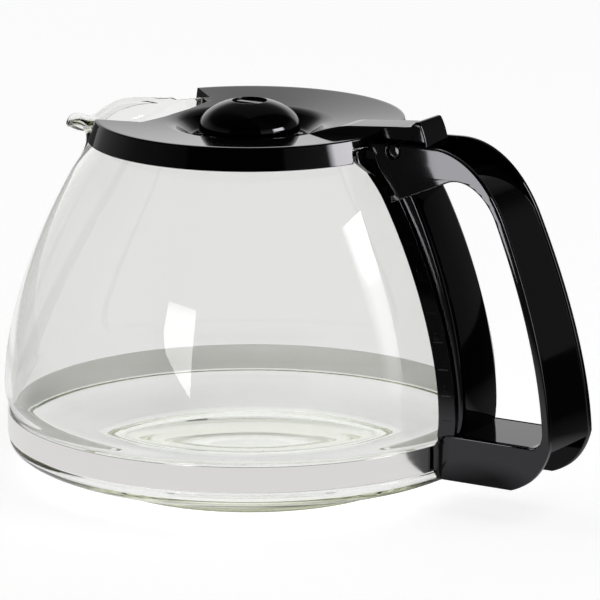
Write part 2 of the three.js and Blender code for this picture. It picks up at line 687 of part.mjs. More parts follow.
// Cut-out over the pouring lip: a straight edge whose ends swing out to the rim.
function biteShape() {
  const shape = new THREE.Shape();
  const [tipX, tipY] = [LID_R * Math.cos(BITE_SPREAD), LID_R * Math.sin(BITE_SPREAD)];
  const straight = tipY - 11;
  shape.moveTo(-BITE_X, straight);
  shape.bezierCurveTo(-BITE_X, tipY - 5, -BITE_X - 4, tipY - 3, -tipX, tipY);
  shape.lineTo(-2 * tipX, 2 * tipY);
  shape.lineTo(-2 * tipX, -2 * tipY);
  shape.lineTo(-tipX, -tipY);
  shape.bezierCurveTo(-BITE_X - 4, -tipY + 3, -BITE_X, -tipY + 5, -BITE_X, -straight);
  return shape;
}

// Arm over the rim: rises from the well's edge, ends at the hinge.
function lidArm() {
  const shape = new THREE.Shape();
  const under = RIM_Z + GAP + HOOK_T + HUG_GAP;
  shape.moveTo(WELL_R + 2, LID_Z - WELL_DROP - 0.8);
  shape.lineTo(RIM_R - GLASS_T - HOOK_T - 3 * HUG_GAP, under);
  shape.lineTo(PIVOT_X - PIN_R, under);
  shape.lineTo(PIVOT_X - PIN_R, PIVOT_Z);
  shape.lineTo(PIVOT_X + PIN_R, PIVOT_Z);
  shape.lineTo(TAB_X - 3.7, PIVOT_Z + 1.2);
  shape.lineTo(TAB_X - 4.7, TAB_TOP - 1.6);
  shape.quadraticCurveTo(TAB_X - 7.6, TAB_TOP - 2.4, TAB_X - 11, TAB_TOP - 2.5);
  shape.lineTo(TAB_X - 28, TAB_TOP - 4);
  shape.quadraticCurveTo(WELL_R + 11, TAB_TOP - 4.6, WELL_R + 2, LID_Z - WELL_DROP + 0.4);
  return across(shape, -ARM_W / 2, ARM_W / 2);
}

function thumbTab() {
  const shape = new THREE.Shape();
  shape.moveTo(TAB_X - 5, PIVOT_Z + 0.3);
  shape.lineTo(TAB_X - 1, PIVOT_Z - 0.5);
  shape.quadraticCurveTo(TAB_X + 0.1, PIVOT_Z - 0.5, TAB_X, PIVOT_Z + 0.6);
  shape.quadraticCurveTo(TAB_X - 0.9, PIVOT_Z + 5.6, TAB_X - 2.7, TAB_TOP - 0.4);
  shape.quadraticCurveTo(TAB_X - 3.1, TAB_TOP, TAB_X - 4.1, TAB_TOP - 0.2);
  shape.lineTo(TAB_X - 5.7, TAB_TOP - 1.4);
  return across(shape, -TAB_W / 2, TAB_W / 2, 5);
}

// Rounded slots in the floor of the well, and windows for the dome's legs.
function wellOpenings() {
  const tools = [];
  for (let i = 0; i < SLOT_COUNT; i += 1) {
    const turn = (i + 0.5) * (360 / SLOT_COUNT);
    const slot = box(6, DOME_R + 0.9, -SLOT_W / 2, SLOT_W / 2, 0, FAR);
    tools.push(slot.rotate([0, 0, turn]));
  }
  for (let i = 0; i < 4; i += 1) {
    const half = DOME_LEG_W / 2 + GAP;
    const hole = box(DOME_LEG_R - GAP, DOME_LEG_R + DOME_LEG_T + 0.9, -half, half, 0, FAR);
    tools.push(hole.rotate([0, 0, 90 * i]));
  }
  return joined(tools);
}

function makeLid() {
  const hookTop = RIM_Z + GAP + HOOK_T + HUG_GAP;
  const gapY = HANDLE_TOP_W / 2 + SKIRT_CLEAR;
  const hookY = HOOK_W / 2 + HUG_GAP;
  const hookIn = Math.sqrt((RIM_R - GLASS_T - HOOK_T - 2 * HUG_GAP) ** 2 - hookY ** 2);
  const hub = Math.max(LID_Z, TAB_TOP) + 10;
  const plate = turned(lidSection())
    .subtract(upward(biteShape(), 0, hub))
    .subtract(box(hookIn, FAR, -gapY, gapY, 0, RIM_Z + HUG_GAP))
    .subtract(box(hookIn, FAR, -hookY, hookY, 0, hookTop))
    .subtract(wellOpenings());
  const pinEnd = HALF_W * taperAt(PIVOT_Z + PIN_R) - GAP;
  const pins = rodY(PIN_R, -pinEnd, pinEnd, PIVOT_X, PIVOT_Z);
  return joined([plate, lidArm(), thumbTab(), pins]);
}

function makeDome() {
  const arc = (wide, high, from) => {
    const curve = new THREE.EllipseCurve(0, DOME_Z, wide, high, 0, Math.acos(from / wide), false);
    return curve.getPoints(6).map((point) => v2(point.x, point.y));
  };
  const low = WELL_FLOOR_Z + GAP;
  const outer = arc(DOME_R, DOME_H, DOME_HOLE_R);
  const inner = arc(DOME_R - DOME_T, DOME_H - DOME_T, DOME_HOLE_R);
  const foot = [v2(DOME_R - DOME_T, low), v2(DOME_R - 0.5, low)];
  const shell = turned([...foot, ...outer, ...inner.reverse(), foot[0]], ROUND_STEPS / 2);
  const barTop = outer.at(-1).y - 0.5;
  const bar = box(-DOME_BAR_W / 2, DOME_BAR_W / 2, -DOME_HOLE_R - 0.8, DOME_HOLE_R + 0.8, barTop - 1.6, barTop);
  const floorLow = WELL_FLOOR_Z - LID_T + 0.4;
  const legEnd = floorLow - GAP - 1.4;
  const legOut = DOME_LEG_R + DOME_LEG_T;
  const leg = new THREE.Shape();
  leg.moveTo(DOME_LEG_R, legEnd);
  leg.lineTo(legOut - 0.4, legEnd);
  leg.lineTo(legOut + 0.5, floorLow - GAP - 0.3);
  leg.lineTo(legOut + 0.5, floorLow - GAP);
  leg.lineTo(legOut, floorLow - GAP);
  leg.lineTo(legOut, DOME_Z + 1.4);
  leg.lineTo(DOME_LEG_R, DOME_Z + 1.4);
  const legs = [0, 90, 180, 270].map((turn) => {
    return across(leg, -DOME_LEG_W / 2, DOME_LEG_W / 2).rotate([0, 0, turn]);
  });
  return joined([shell, bar, ...legs]);
}

const glass = { color: 0xdfe8e4, roughness: 0.03, metalness: 0, transparent: true, opacity: 0.4 };
const steel = { color: 0xc9c9c6, roughness: 0.25, metalness: 1 };
const zinc = { color: 0xb4b5b3, roughness: 0.4, metalness: 1 };
const black = { color: 0x0d0d0f, roughness: 0.18, metalness: 0 };
const satin = { color: 0x111113, roughness: 0.3, metalness: 0 };

function piece(name, body, look) {
  const mesh = body.getMesh();
  const geometry = new THREE.BufferGeometry();
  geometry.setAttribute('position', new THREE.BufferAttribute(new Float32Array(mesh.vertProperties), 3));
  geometry.setIndex(new THREE.BufferAttribute(new Uint32Array(mesh.triVerts), 1));
  geometry.computeVertexNormals();
  const node = new THREE.Mesh(geometry, new THREE.MeshStandardMaterial(look));
  node.name = name;
  return node;
}

const carafe = new THREE.Group();
carafe.name = 'coffee_carafe';
carafe.add(
  piece('glass_jug', makeJug(), glass),
  piece('steel_band', makeBand(), steel),
  piece('clamp_block', makeClampBlock(), zinc),
  piece('band_screw', makeScrew(), zinc),
  piece('handle', makeHandle(), black),
  piece('lid', makeLid(), satin),
  piece('drip_dome', makeDome(), black),
);

export default carafe;
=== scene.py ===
import math

import bmesh
import bpy
import numpy as np
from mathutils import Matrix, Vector


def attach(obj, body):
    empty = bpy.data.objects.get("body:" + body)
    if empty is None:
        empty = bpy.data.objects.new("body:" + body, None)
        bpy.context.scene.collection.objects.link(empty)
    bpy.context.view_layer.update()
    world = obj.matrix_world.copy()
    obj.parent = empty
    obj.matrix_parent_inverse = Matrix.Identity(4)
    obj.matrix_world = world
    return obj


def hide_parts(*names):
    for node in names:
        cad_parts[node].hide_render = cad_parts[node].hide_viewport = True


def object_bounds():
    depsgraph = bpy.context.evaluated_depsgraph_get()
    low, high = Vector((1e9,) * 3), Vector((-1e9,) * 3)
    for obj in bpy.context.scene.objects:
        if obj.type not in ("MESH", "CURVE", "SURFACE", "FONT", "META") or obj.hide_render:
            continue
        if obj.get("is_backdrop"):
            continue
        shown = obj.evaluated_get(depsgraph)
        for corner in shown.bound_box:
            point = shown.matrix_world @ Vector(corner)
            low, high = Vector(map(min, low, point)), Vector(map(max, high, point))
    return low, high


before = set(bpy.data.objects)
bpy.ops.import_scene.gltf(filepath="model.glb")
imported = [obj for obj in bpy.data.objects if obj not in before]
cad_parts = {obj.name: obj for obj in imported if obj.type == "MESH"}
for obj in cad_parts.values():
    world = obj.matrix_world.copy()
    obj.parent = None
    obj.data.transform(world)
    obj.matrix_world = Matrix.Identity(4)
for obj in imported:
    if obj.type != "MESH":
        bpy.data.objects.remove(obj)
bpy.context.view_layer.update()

# Glass jug
# Blown clear borosilicate with an even 2 mm wall on a low flat foot. The pouring lip is drawn out
# and rolled over in the flame; a shallow groove under the belly takes the steel band.

wall = 2.0
foot_r, foot_h, foot_edge = 50.5, 4.4, 1.0
base_edge_t, base_t = 2.4, 3.3
under_r, under_z, under_wide, under_deep = 51.5, 12.8, 24.2, 8.4
groove_r, groove_low, groove_high = 75.1, 13.4, 21.6
belly_r, belly_z = 76.9, 29.0
shoulder_r, shoulder_z = 55.7, 96.0
rim_r, rim_z = 47.3, 110.6
lip_half, lip_shift, lip_rise = math.radians(28.5), 8.8, 0.5
lip_lean, lip_turn, lip_roll = math.radians(42), math.radians(200), 1.5
channel, channel_half = 3.2, math.radians(15)


def bezier(a, b, c, d, count):
    t = np.linspace(0, 1, count + 1)[:, None]
    a, b, c, d = (np.array(p, float) for p in (a, b, c, d))
    return (1 - t) ** 3 * a + 3 * (1 - t) ** 2 * t * b + 3 * (1 - t) * t**2 * c + t**3 * d


def bend(a, b, c, count):
    """Curve from a to c that leans on the corner b."""
    t = np.linspace(0, 1, count + 1)[:, None]
    a, b, c = (np.array(p, float) for p in (a, b, c))
    return (1 - t) ** 2 * a + 2 * (1 - t) * t * b + t**2 * c


def eased(line, radius, steps=4):
    """Open line with every corner turned into a short curve."""
    line = [np.array(p, float) for p in line]
    out = [line[0][None]]
    for a, b, c in zip(line, line[1:], line[2:]):
        back, on = np.linalg.norm(a - b), np.linalg.norm(c - b)
        reach = min(radius, 0.45 * back, 0.45 * on)
        out.append(bend(b + (a - b) / back * reach, b, b + (c - b) / on * reach, steps))
    return np.vstack(out + [line[-1][None]])


def spaced(line, shares):
    """Points at the given shares of a line's length."""
    run = np.concatenate([[0], np.cumsum(np.linalg.norm(np.diff(line, axis=0), axis=1))])
    return np.column_stack([np.interp(shares * run[-1], run, line[:, k]) for k in (0, 1)])


def beside(line, distance):
    """The line moved to the left of its direction of travel."""
    way = np.gradient(line, axis=0)
    way /= np.linalg.norm(way, axis=1)[:, None]
    return line + distance * np.column_stack([-way[:, 1], way[:, 0]])


def skin(rings, whole=False, loop=True):
    """Shell over rings of points set one after another, capped at its ends if it isn't whole."""
    count, last = len(rings[0]), len(rings) - 1
    faces = []
    for i in range(last + 1 if whole else last):
        j = (i + 1) % len(rings)
        for k in range(count if loop else count - 1):
            m = (k + 1) % count
            faces.append((i * count + k, j * count + k, j * count + m, i * count + m))
    if not whole:
        faces += [tuple(range(count)), tuple(range(last * count, (last + 1) * count))]
    return [p for ring in rings for p in ring], faces


def turned(profiles, turns, whole=True, loop=False):
    """Shell over profiles of (radius, height) set round the axis."""
    rings = [[(r * math.cos(t), r * math.sin(t), z) for r, z in p] for p, t in zip(profiles, turns)]
    return skin(rings, whole, loop)


def add_object(name, data):
    made = bpy.data.objects.new(name, data)
    bpy.context.scene.collection.objects.link(made)
    return made


def make_piece(name, shells, sharp=40):
    """One object from closed shells given in millimetres, smooth but for edges over the sharp angle."""
    points, faces = [], []
    for shell_points, shell_faces in shells:
        bm = bmesh.new()
        verts = [bm.verts.new(Vector(p) * 0.001) for p in shell_points]
        for face in shell_faces:
            bm.faces.new([verts[i] for i in face])
        bmesh.ops.remove_doubles(bm, verts=bm.verts, dist=1e-6)
        bmesh.ops.recalc_face_normals(bm, faces=bm.faces)
        bm.verts.index_update()
        start = len(points)
        points += [v.co[:] for v in bm.verts]
        faces += [[start + v.index for v in f.verts] for f in bm.faces]
        bm.free()
    mesh = bpy.data.meshes.new(name)
    mesh.from_pydata(points, [], faces)
    mesh.shade_smooth()
    mesh.set_sharp_from_angle(angle=math.radians(sharp))
    return add_object(name, mesh)


def make_material(name):
    """New material, its node tree and its main shader."""
    material = bpy.data.materials.new(name)
    material.use_nodes = True
    return material, material.node_tree, material.node_tree.nodes["Principled BSDF"]


def own_place(tree):
    """The piece's own coordinates, in metres."""
    return tree.nodes.new("ShaderNodeTexCoord").outputs["Object"]


def add_noise(tree, scale, detail, vector=None):
    """Noise in the piece's own coordinates, or along the vector given."""
    noise = tree.nodes.new("ShaderNodeTexNoise")
    noise.inputs["Scale"].default_value = scale
    noise.inputs["Detail"].default_value = detail
    tree.links.new(own_place(tree) if vector is None else vector, noise.inputs["Vector"])
    return noise.outputs["Fac"]


def spread(tree, value, low, high, start=0.3, end=0.7):
    """A value that goes from start to end, turned into one from low to high."""
    span = tree.nodes.new("ShaderNodeMapRange")
    for socket, amount in (("From Min", start), ("From Max", end), ("To Min", low), ("To Max", high)):
        span.inputs[socket].default_value = amount
    tree.links.new(value, span.inputs["Value"])
    return span.outputs["Result"]


def add_bump(tree, height, strength, distance):
    bump = tree.nodes.new("ShaderNodeBump")
    bump.inputs["Strength"].default_value = strength
    bump.inputs["Distance"].default_value = distance
    tree.links.new(height, bump.inputs["Height"])
    return bump.outputs["Normal"]


body_line = bezier((belly_r, belly_z), (belly_r, 47), (68.7, 73.5), (shoulder_r, shoulder_z), 30)
shoulder_lead = (shoulder_r - 3.53, shoulder_z + 5.99)


def neck_line(off):
    """Outside of the neck at an angle off the lip's middle, with the rolled edge along the lip."""
    share = (1 - min(off / lip_half, 1) ** 4) ** 1.5
    dip = channel * math.cos(math.pi / 2 * min(off / channel_half, 1)) ** 2
    lean, turn = share * lip_lean, share * lip_turn
    crest = (lip_roll + wall) * math.sin(min(turn, math.pi / 2))
    roll_x = rim_r + share * lip_shift + lip_roll
    roll_z = rim_z + share * lip_rise - max(wall / 2, crest) - dip
    foot = (roll_x - lip_roll * math.cos(lean), roll_z + lip_roll * math.sin(lean))
    reach = 0.33 * (rim_z - shoulder_z)
    lead = (foot[0] - reach * math.sin(lean), foot[1] - reach * math.cos(lean))
    line = bezier((shoulder_r, shoulder_z), shoulder_lead, lead, foot, 120)
    around = np.linspace(math.pi - lean, math.pi - turn, 60)[1:]
    roll = np.column_stack([roll_x + lip_roll * np.cos(around), roll_z + lip_roll * np.sin(around)])
    full = np.vstack([line, roll]) if turn > 0 else line
    return spaced(full, 1 - (1 - np.linspace(0, 1, 31)) ** 1.7)


def with_edge(line):
    """Wall of glass on a line, its free edge rounded by the flame."""
    inner = beside(line, wall)
    middle, half = (line[-1] + inner[-1]) / 2, (line[-1] - inner[-1]) / 2
    ahead = np.array([-half[1], half[0]])
    around = np.linspace(0, math.pi, 8)[1:-1]
    edge = [middle + math.cos(a) * half + math.sin(a) * ahead for a in around]
    return np.vstack([line, edge, inner[::-1]])


under = np.linspace(0, math.pi / 2, 14)
under_out = np.column_stack([under_r + under_wide * np.sin(under), under_z - under_deep * np.cos(under)])
inside_r, inside_deep = under_r - wall, under_deep - base_edge_t
under_in = np.column_stack([inside_r + under_wide * np.cos(under), under_z - inside_deep * np.sin(under)])
foot_line = [(0, 0), (foot_r - foot_edge, 0), (foot_r, foot_edge), (foot_r, foot_h - 0.8), under_out[0]]
foot_out = eased(foot_line, 0.7)
foot_in = bezier(under_in[-1], (42.0, 6.8), (36.0, 3.6), (22.0, base_t + 0.1), 14)
groove = eased([under_out[-1], (groove_r, groove_low), (groove_r, groove_high)], 0.5)
to_belly = bezier(groove[-1], (groove_r, 23.4), (76.7, 25.0), body_line[0], 10)
below = np.vstack([foot_out[:-1], under_out[:-1], groove, to_belly[1:-1], body_line[:-1]])
above = np.vstack([beside(body_line, wall)[::-1][1:], under_in[:-1], foot_in, [(10, base_t), (0, base_t)]])

# The turns lie closer together round the lip.
even = np.linspace(-math.pi, math.pi, 224, endpoint=False)
jug_turns = even + 0.5 * np.sin(even)
jug_profiles = [np.vstack([below, with_edge(neck_line(math.pi - abs(t))), above]) for t in jug_turns]
jug = make_piece("jug_glass", [turned(jug_profiles, jug_turns)], sharp=180)

glass, tree, shader = make_material("clear_glass")
shader.inputs["Base Color"].default_value = (0.9, 0.902, 0.9, 1)
shader.inputs["Transmission Weight"].default_value = 1
shader.inputs["IOR"].default_value = 1.47
tree.links.new(spread(tree, add_noise(tree, 60, 4), 0.0, 0.012), shader.inputs["Roughness"])
tree.links.new(add_bump(tree, add_noise(tree, 28, 1), 0.06, 0.001), shader.inputs["Normal"])
tint = tree.nodes.new("ShaderNodeVolumeAbsorption")
tint.inputs["Color"].default_value = (0.8, 0.82, 0.68, 1)
tint.inputs["Density"].default_value = 22
tree.links.new(tint.outputs["Volume"], tree.nodes["Material Output"].inputs["Volume"])

# Lamps shine through the glass, so its shadow is only a faint one.
passing = tree.nodes.new("ShaderNodeBsdfTransparent")
passing.inputs["Color"].default_value = (0.96, 0.97, 0.965, 1)
lamp_lit = tree.nodes.new("ShaderNodeMixShader")
tree.links.new(tree.nodes.new("ShaderNodeLightPath").outputs["Is Shadow Ray"], lamp_lit.inputs["Fac"])
tree.links.new(shader.outputs["BSDF"], lamp_lit.inputs[1])
tree.links.new(passing.outputs["BSDF"], lamp_lit.inputs[2])
tree.links.new(lamp_lit.outputs["Shader"], tree.nodes["Material Output"].inputs["Surface"])
jug.data.materials.append(glass)
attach(jug, "jug")
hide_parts("glass_jug")

# Steel band
# Stainless strip, 8 mm by 0.6 mm, rolled round the groove: polished outside, dull inside, and the inside's
# colour painted paler to brighten the band where it is seen through the glass. Its two ends bend outwards
# into the handle and hook round the clamp block, which the screw draws tight.

band_r, band_z, band_h, band_t = 76.0, 17.7, 8.0, 0.6
leg_y, leg_end, hook_y = 5.0, 89.0, 2.6


def swept(path, section):
    """Section of (outwards, up) carried along a level path."""
    way = np.gradient(path, axis=0)
    way /= np.linalg.norm(way, axis=1)[:, None]
    out = np.column_stack([way[:, 1], -way[:, 0]])
    return skin([[(*(p + n * o), z) for n, z in section] for p, o in zip(path, out)])


def rounded_box(low, high, radius, steps=3):
    """Closed outline of a rectangle with rounded corners."""
    (x0, y0), (x1, y1) = low, high
    outline = []
    for x, y, start in ((x1, y1, 0), (x0, y1, 1), (x0, y0, 2), (x1, y0, 3)):
        cx, cy = x + (radius if x == x0 else -radius), y + (radius if y == y0 else -radius)
        for a in np.linspace(start, start + 1, steps + 1) * math.pi / 2:
            outline.append((cx + radius * math.cos(a), cy + radius * math.sin(a)))
    return outline


def add_math(tree, operation, first, second):
    """Result of a sum on two values, each another node's output or a plain number."""
    node = tree.nodes.new("ShaderNodeMath")
    node.operation = operation
    for socket, value in zip(node.inputs, (first, second)):
        if isinstance(value, (int, float)):
            socket.default_value = value
        else:
            tree.links.new(value, socket)
    return node.outputs["Value"]


def split_place(tree, vector):
    """The three parts of a vector."""
    parts = tree.nodes.new("ShaderNodeSeparateXYZ")
    tree.links.new(vector, parts.inputs["Vector"])
    return parts.outputs["X"], parts.outputs["Y"], parts.outputs["Z"]


middle_r = band_r - band_t / 2
leg_turn = math.asin(leg_y / middle_r)
ring = np.linspace(leg_turn, 2 * math.pi - leg_turn, 260)
ring = np.column_stack([middle_r * np.cos(ring), middle_r * np.sin(ring)])
leg = [(leg_end - band_t / 2, hook_y), (leg_end - band_t / 2, leg_y)]
leg_line = eased([*leg, ring[0], ring[4]], 1.0, 6)
band_path = np.vstack([leg_line, ring[5:-5], (leg_line * (1, -1))[::-1]])
strip = rounded_box((-band_t / 2, band_z - band_h / 2), (band_t / 2, band_z + band_h / 2), 0.1)
band = make_piece("band_strip", [swept(band_path, strip)], sharp=50)
band.modifiers.new("flat_faces", "WEIGHTED_NORMAL").keep_sharp = True

# The inside is rougher, and its paler colour is painted light that brightens the band seen through the
# glass.
for name, colour, smooth, dull in (
    ("polished_outside", (0.87, 0.855, 0.845, 1), 0.1, 0.16),
    ("rolled_inside_painted_pale", (0.94, 0.93, 0.915, 1), 0.32, 0.5),
):
    steel, tree, shader = make_material(name)
    shader.inputs["Base Color"].default_value = colour
    shader.inputs["Metallic"].default_value = 1
    place_x, place_y, place_z = split_place(tree, own_place(tree))
    grain = tree.nodes.new("ShaderNodeCombineXYZ")
    tree.links.new(add_math(tree, "ARCTAN2", place_y, place_x), grain.inputs["X"])
    tree.links.new(add_math(tree, "MULTIPLY", place_z, 900), grain.inputs["Y"])
    drawn = add_noise(tree, 5, 5, grain.outputs["Vector"])
    tree.links.new(spread(tree, drawn, smooth, dull), shader.inputs["Roughness"])
    tree.links.new(add_bump(tree, drawn, 0.04, 0.00005), shader.inputs["Normal"])
    band.data.materials.append(steel)
for face in band.data.polygons:
    face.material_index = 1 if face.center.to_2d().dot(face.normal.to_2d()) < 0 else 0
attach(band, "jug")
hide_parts("steel_band")

# Clamp block
# Small zinc plated steel block inside the handle. The band's hooked ends lie against it and the
# screw runs in its hole, so turning the screw pulls the band tight.

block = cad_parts["clamp_block"]
zinc, tree, shader = make_material("zinc_plate")
shader.inputs["Base Color"].default_value = (0.62, 0.63, 0.62, 1)
shader.inputs["Metallic"].default_value = 1
clouds = add_noise(tree, 420, 6)
tree.links.new(spread(tree, clouds, 0.28, 0.5), shader.inputs["Roughness"])
tree.links.new(add_bump(tree, clouds, 0.15, 0.0001), shader.inputs["Normal"])
block.data.materials.clear()
block.data.materials.append(zinc)

# Band screw
# Zinc plated pan-head screw with a cross recess. It goes in from the handle's outer side through
# the cross wall, and its head is reached from under the grip.

shank_r, head_r, head_h = 2.0, 3.9, 2.6
screw_tip, head_seat = 79.0, 94.7
head_end = head_seat + head_h
recess_long, recess_wide, recess_deep = 2.1, 0.55, 1.4


def as_mesh(made):
    """Plain mesh of an object as its modifiers leave it."""
    return bpy.data.meshes.new_from_object(made.evaluated_get(bpy.context.evaluated_depsgraph_get()))


screw_line = [(0, screw_tip), (1.4, screw_tip), (shank_r, screw_tip + 0.6), (shank_r, head_seat)]
screw_line += [(head_r, head_seat), (head_r, head_seat + head_h / 2), (3.2, head_end), (0, head_end)]
screw_turns = np.linspace(0, 2 * math.pi, 48, endpoint=False)
points, faces = turned([eased(screw_line, 0.35)] * len(screw_turns), screw_turns)
screw = make_piece("band_screw_head", [([(z, x, y + band_z) for x, y, z in points], faces)])
arms = []
for wide, high in ((recess_wide, recess_long), (recess_long, recess_wide)):
    bar = rounded_box((-wide, band_z - high), (wide, band_z + high), 0.2)
    arms.append(skin([[(x, *p) for p in bar] for x in (head_end - recess_deep, head_end + 1)]))
driver = make_piece("driver", arms)
recess = screw.modifiers.new("recess", "BOOLEAN")
recess.object = driver
recess.use_self = True
dug = as_mesh(screw)
screw.modifiers.clear()
screw.data = dug
bpy.data.objects.remove(driver)
dug.set_sharp_from_angle(angle=math.radians(35))
dug.materials.clear()
dug.materials.append(zinc)
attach(screw, "jug")
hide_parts("band_screw")

# Handle
# One glossy black moulding: two side walls joined by the grip strap, a flange and a rib that
# follow the glass, a hollow lower end for the clamp and a hook over the rim.

half_w, top_half_w, cavity_y = 14.0, 11.0, 11.8
edge_y, rib_half, core_half = 12.9, 11.6, 7.6
bottom_z, top_z, bridge_z, root_z = 11.3, 113.2, 25.3, 95.8
pivot_x, pivot_z, notch_r = 58.1, 110.8, 2.3
grip_top, grip_end, bridge_end = (96.4, 93.0), (114.4, 26.0), (75.4, 102.4)
grip_t, strap_in = 2.6, 0.45
band_clear, band_top, glass_gap, lap = 76.8, 21.8, 0.45, 0.25
flange_out, rib_out, rib_rise = 4.3, 5.3, 3.9
rib_t, rib_proud, rib_swell, rib_round = 2.4, 1.1, 0.8, 1.6
inner_half, clamp_half, bridge_half = 12.3, 5.7, 5.9
cross_in, cross_out, screw_hole_r = 92.0, 94.4, 2.3
hook_in, rim_in, rim_out, hook_out = 43.5, 44.9, 47.75, 49.7
hook_low, rim_over_z, hook_top, hook_side = 106.2, 110.9, 112.3, 9.0

glass_zs = np.concatenate([[under_z], body_line[:, 1], neck_line(math.pi)[1:, 1]])
glass_rs = np.concatenate([[under_r + under_wide], body_line[:, 0], neck_line(math.pi)[1:, 0]])


def glass_r(z):
    return float(np.interp(z, glass_zs, glass_rs))


def taper(z):
    """Share of the handle's width that is left at a height."""
    return 1 - (half_w - top_half_w) / half_w * (z - bottom_z) / (top_z - bottom_z)


def hug_x(z, y):
    """Face that lies along the glass, or round the band, at a height and a distance off the middle."""
    clear = band_clear if z < band_top else glass_r(z) + glass_gap
    return math.sqrt(clear**2 - y**2)


def front_x(z):
    """Front edge of a side wall, which laps a little over the glass's gap."""
    return hug_x(z, edge_y * taper(z)) - lap


def flange_x(z):
    return glass_r(z) + flange_out


def rib_x(z):
    return glass_r(z) + rib_out + rib_rise * (z - bridge_z) / (root_z - bridge_z)


def plate(outlines, low, high, edge, place):
    """Flat moulding with its edges rounded over. The first outline is solid, the others are holes."""
    curve = bpy.data.curves.new("plate", "CURVE")
    curve.dimensions = "2D"
    curve.fill_mode = "BOTH"
    curve.extrude = (high - low) / 2 - edge
    curve.bevel_depth = edge
    curve.bevel_resolution = 2
    curve.offset = -edge
    for outline in outlines:
        spline = curve.splines.new("POLY")
        spline.points.add(len(outline) - 1)
        for point, (u, v) in zip(spline.points, outline):
            point.co = (u, v, 0, 1)
        spline.use_cyclic_u = True
    holder = add_object("plate", curve)
    flat = as_mesh(holder)
    points = [place(v.co.x, v.co.y, (low + high) / 2 + v.co.z) for v in flat.vertices]
    faces = [tuple(p.vertices) for p in flat.polygons]
    bpy.data.objects.remove(holder)
    bpy.data.meshes.remove(flat)
    bpy.data.curves.remove(curve)
    return points, faces


def tapered_side(u, v, w):
    """Point of a side wall, whose front edge lies along the glass through its whole thickness."""
    y = w * taper(v)
    front = front_x(v)
    return (u + hug_x(v, abs(y)) - lap - front if u < front + 0.8 else u), y, v


def plain_box(low, high):
    """Outline of a rectangle with square corners."""
    (x0, y0), (x1, y1) = low, high
    return [(x0, y0), (x1, y0), (x1, y1), (x0, y1)]


def upright_side(u, v, w):
    return u, w, v


def upright_cross(u, v, w):
    return w, u, v


def hugging(heights, y0, y1, face):
    """Block whose inner face lies along the glass and whose outer face is at face(z)."""
    rings = []
    for z in heights:
        ys = np.linspace(y0, y1, 12) * taper(z)
        rings.append([*((hug_x(z, y), y, z) for y in ys), (face(z), ys[-1], z), (face(z), ys[0], z)])
    return skin(rings)


# Lines of the grip, the roof, the heel and the finger gap, as seen from the side.
grip_in_top = (grip_top[0] - grip_t, grip_top[1])
grip_in_end = (grip_end[0] - grip_t, grip_end[1])
grip_out = bezier(grip_top, (105.2, 72.8), (113.6, 48.0), grip_end, 28)
grip_in = bezier(grip_in_top, (102.6, 72.8), (111.0, 48.0), grip_in_end, 28)
roof_in = bezier(bridge_end, (82.6, 106.6), (90.6, 100.4), grip_in_top, 18)
roof_rim = bezier((70.4, top_z), (82.4, top_z), (91.4, 104.0), grip_top, 20)
heel = bend(grip_end, (111.6, 14.7), (101.4, bottom_z), 14)
corner = bend((111.55, bridge_z + 5), (grip_in_end[0], bridge_z), (106.8, bridge_z), 10)
gap_line = np.vstack([roof_in[:-1], grip_in[grip_in[:, 1] > bridge_z + 5.4], corner])

# Side walls, with the hinge notch in their upper edge.
notch = np.radians(np.linspace(145.7, 394.3, 22))
notch = np.column_stack([pivot_x + notch_r * np.cos(notch), pivot_z + notch_r * np.sin(notch)])
brow = [(49.3, 110.6), (49.3, 112.2), (56.2, 112.6)]
front_zs = np.concatenate([np.linspace(110.5, 23.0, 50), [band_top, band_top - 0.1, bottom_z]])
front_low = [(front_x(z), z) for z in front_zs[::-1] if z < bridge_z]
front_top = [(flange_x(z), z) for z in np.linspace(root_z, 109.4, 12)[1:]]
around_gap = [(hug_x(bridge_z, edge_y) - lap, bridge_z), *gap_line[::-1], (flange_x(root_z), root_z)]
side = [*brow, *notch, (60.0, 112.8), *roof_rim[:-1], *grip_out[:-1], *heel]
side += [*front_low, *around_gap, *front_top]
near_wall = plate([side], -half_w, -cavity_y, 0.45, tapered_side)
far_wall = plate([side], cavity_y, half_w, 0.45, tapered_side)

# Grip strap, which runs on under the roof and over the lower end.
outer = beside(grip_out, -strap_in)
floor_line = bezier(outer[0], (92.4, 101.0), (81.2, 108.4), (74.2, 104.4), 18)
strap = [(57.6, 94.8), (flange_x(root_z), root_z), *gap_line, (78.5, bridge_z), (78.5, 23.0)]
strap += [(110.6, 23.0), (113.85, 24.4), *outer[::-1], *floor_line[1:], (58.9, 97.8), (57.2, 97.0)]
strap_shell = plate([strap], -half_w + 0.03, half_w - 0.03, 0.4, tapered_side)

# Flange and rib along the glass.
column = []
for z in [23.6, *np.linspace(bridge_z, 98.2, 30)]:
    core, rib, edge = core_half * taper(z), rib_half * taper(z), edge_y * taper(z)
    near_arc = [(hug_x(z, y), y) for y in np.linspace(-edge, -core, 6)]
    far_arc = [(hug_x(z, y), y) for y in np.linspace(core, edge, 6)]
    back = [(rib_x(z) - rib_t, -core), (rib_x(z) - rib_t, core)]
    across = np.linspace(0.82, -0.82, 17)
    face = np.array([(rib_x(z) + rib_proud - rib_swell * s**2, s * rib) for s in across])
    far_edge = bend((face[0][0] - rib_round, rib), (face[0][0] - 0.25, rib), face[0], 7)[:-1]
    bulge = [*far_edge, *face, *(far_edge * (1, -1))[::-1]]
    far_step = [(flange_x(z), edge), (flange_x(z), rib)]
    near_step = [(flange_x(z), -rib), (flange_x(z), -edge)]
    level = [*near_arc, *back, *far_arc, *far_step, *bulge, *near_step]
    column.append([(x, y, z) for x, y in level])


def block_face(z):
    return flange_x(bridge_z)


def recess_face(z):
    return glass_r(z) + 2.8


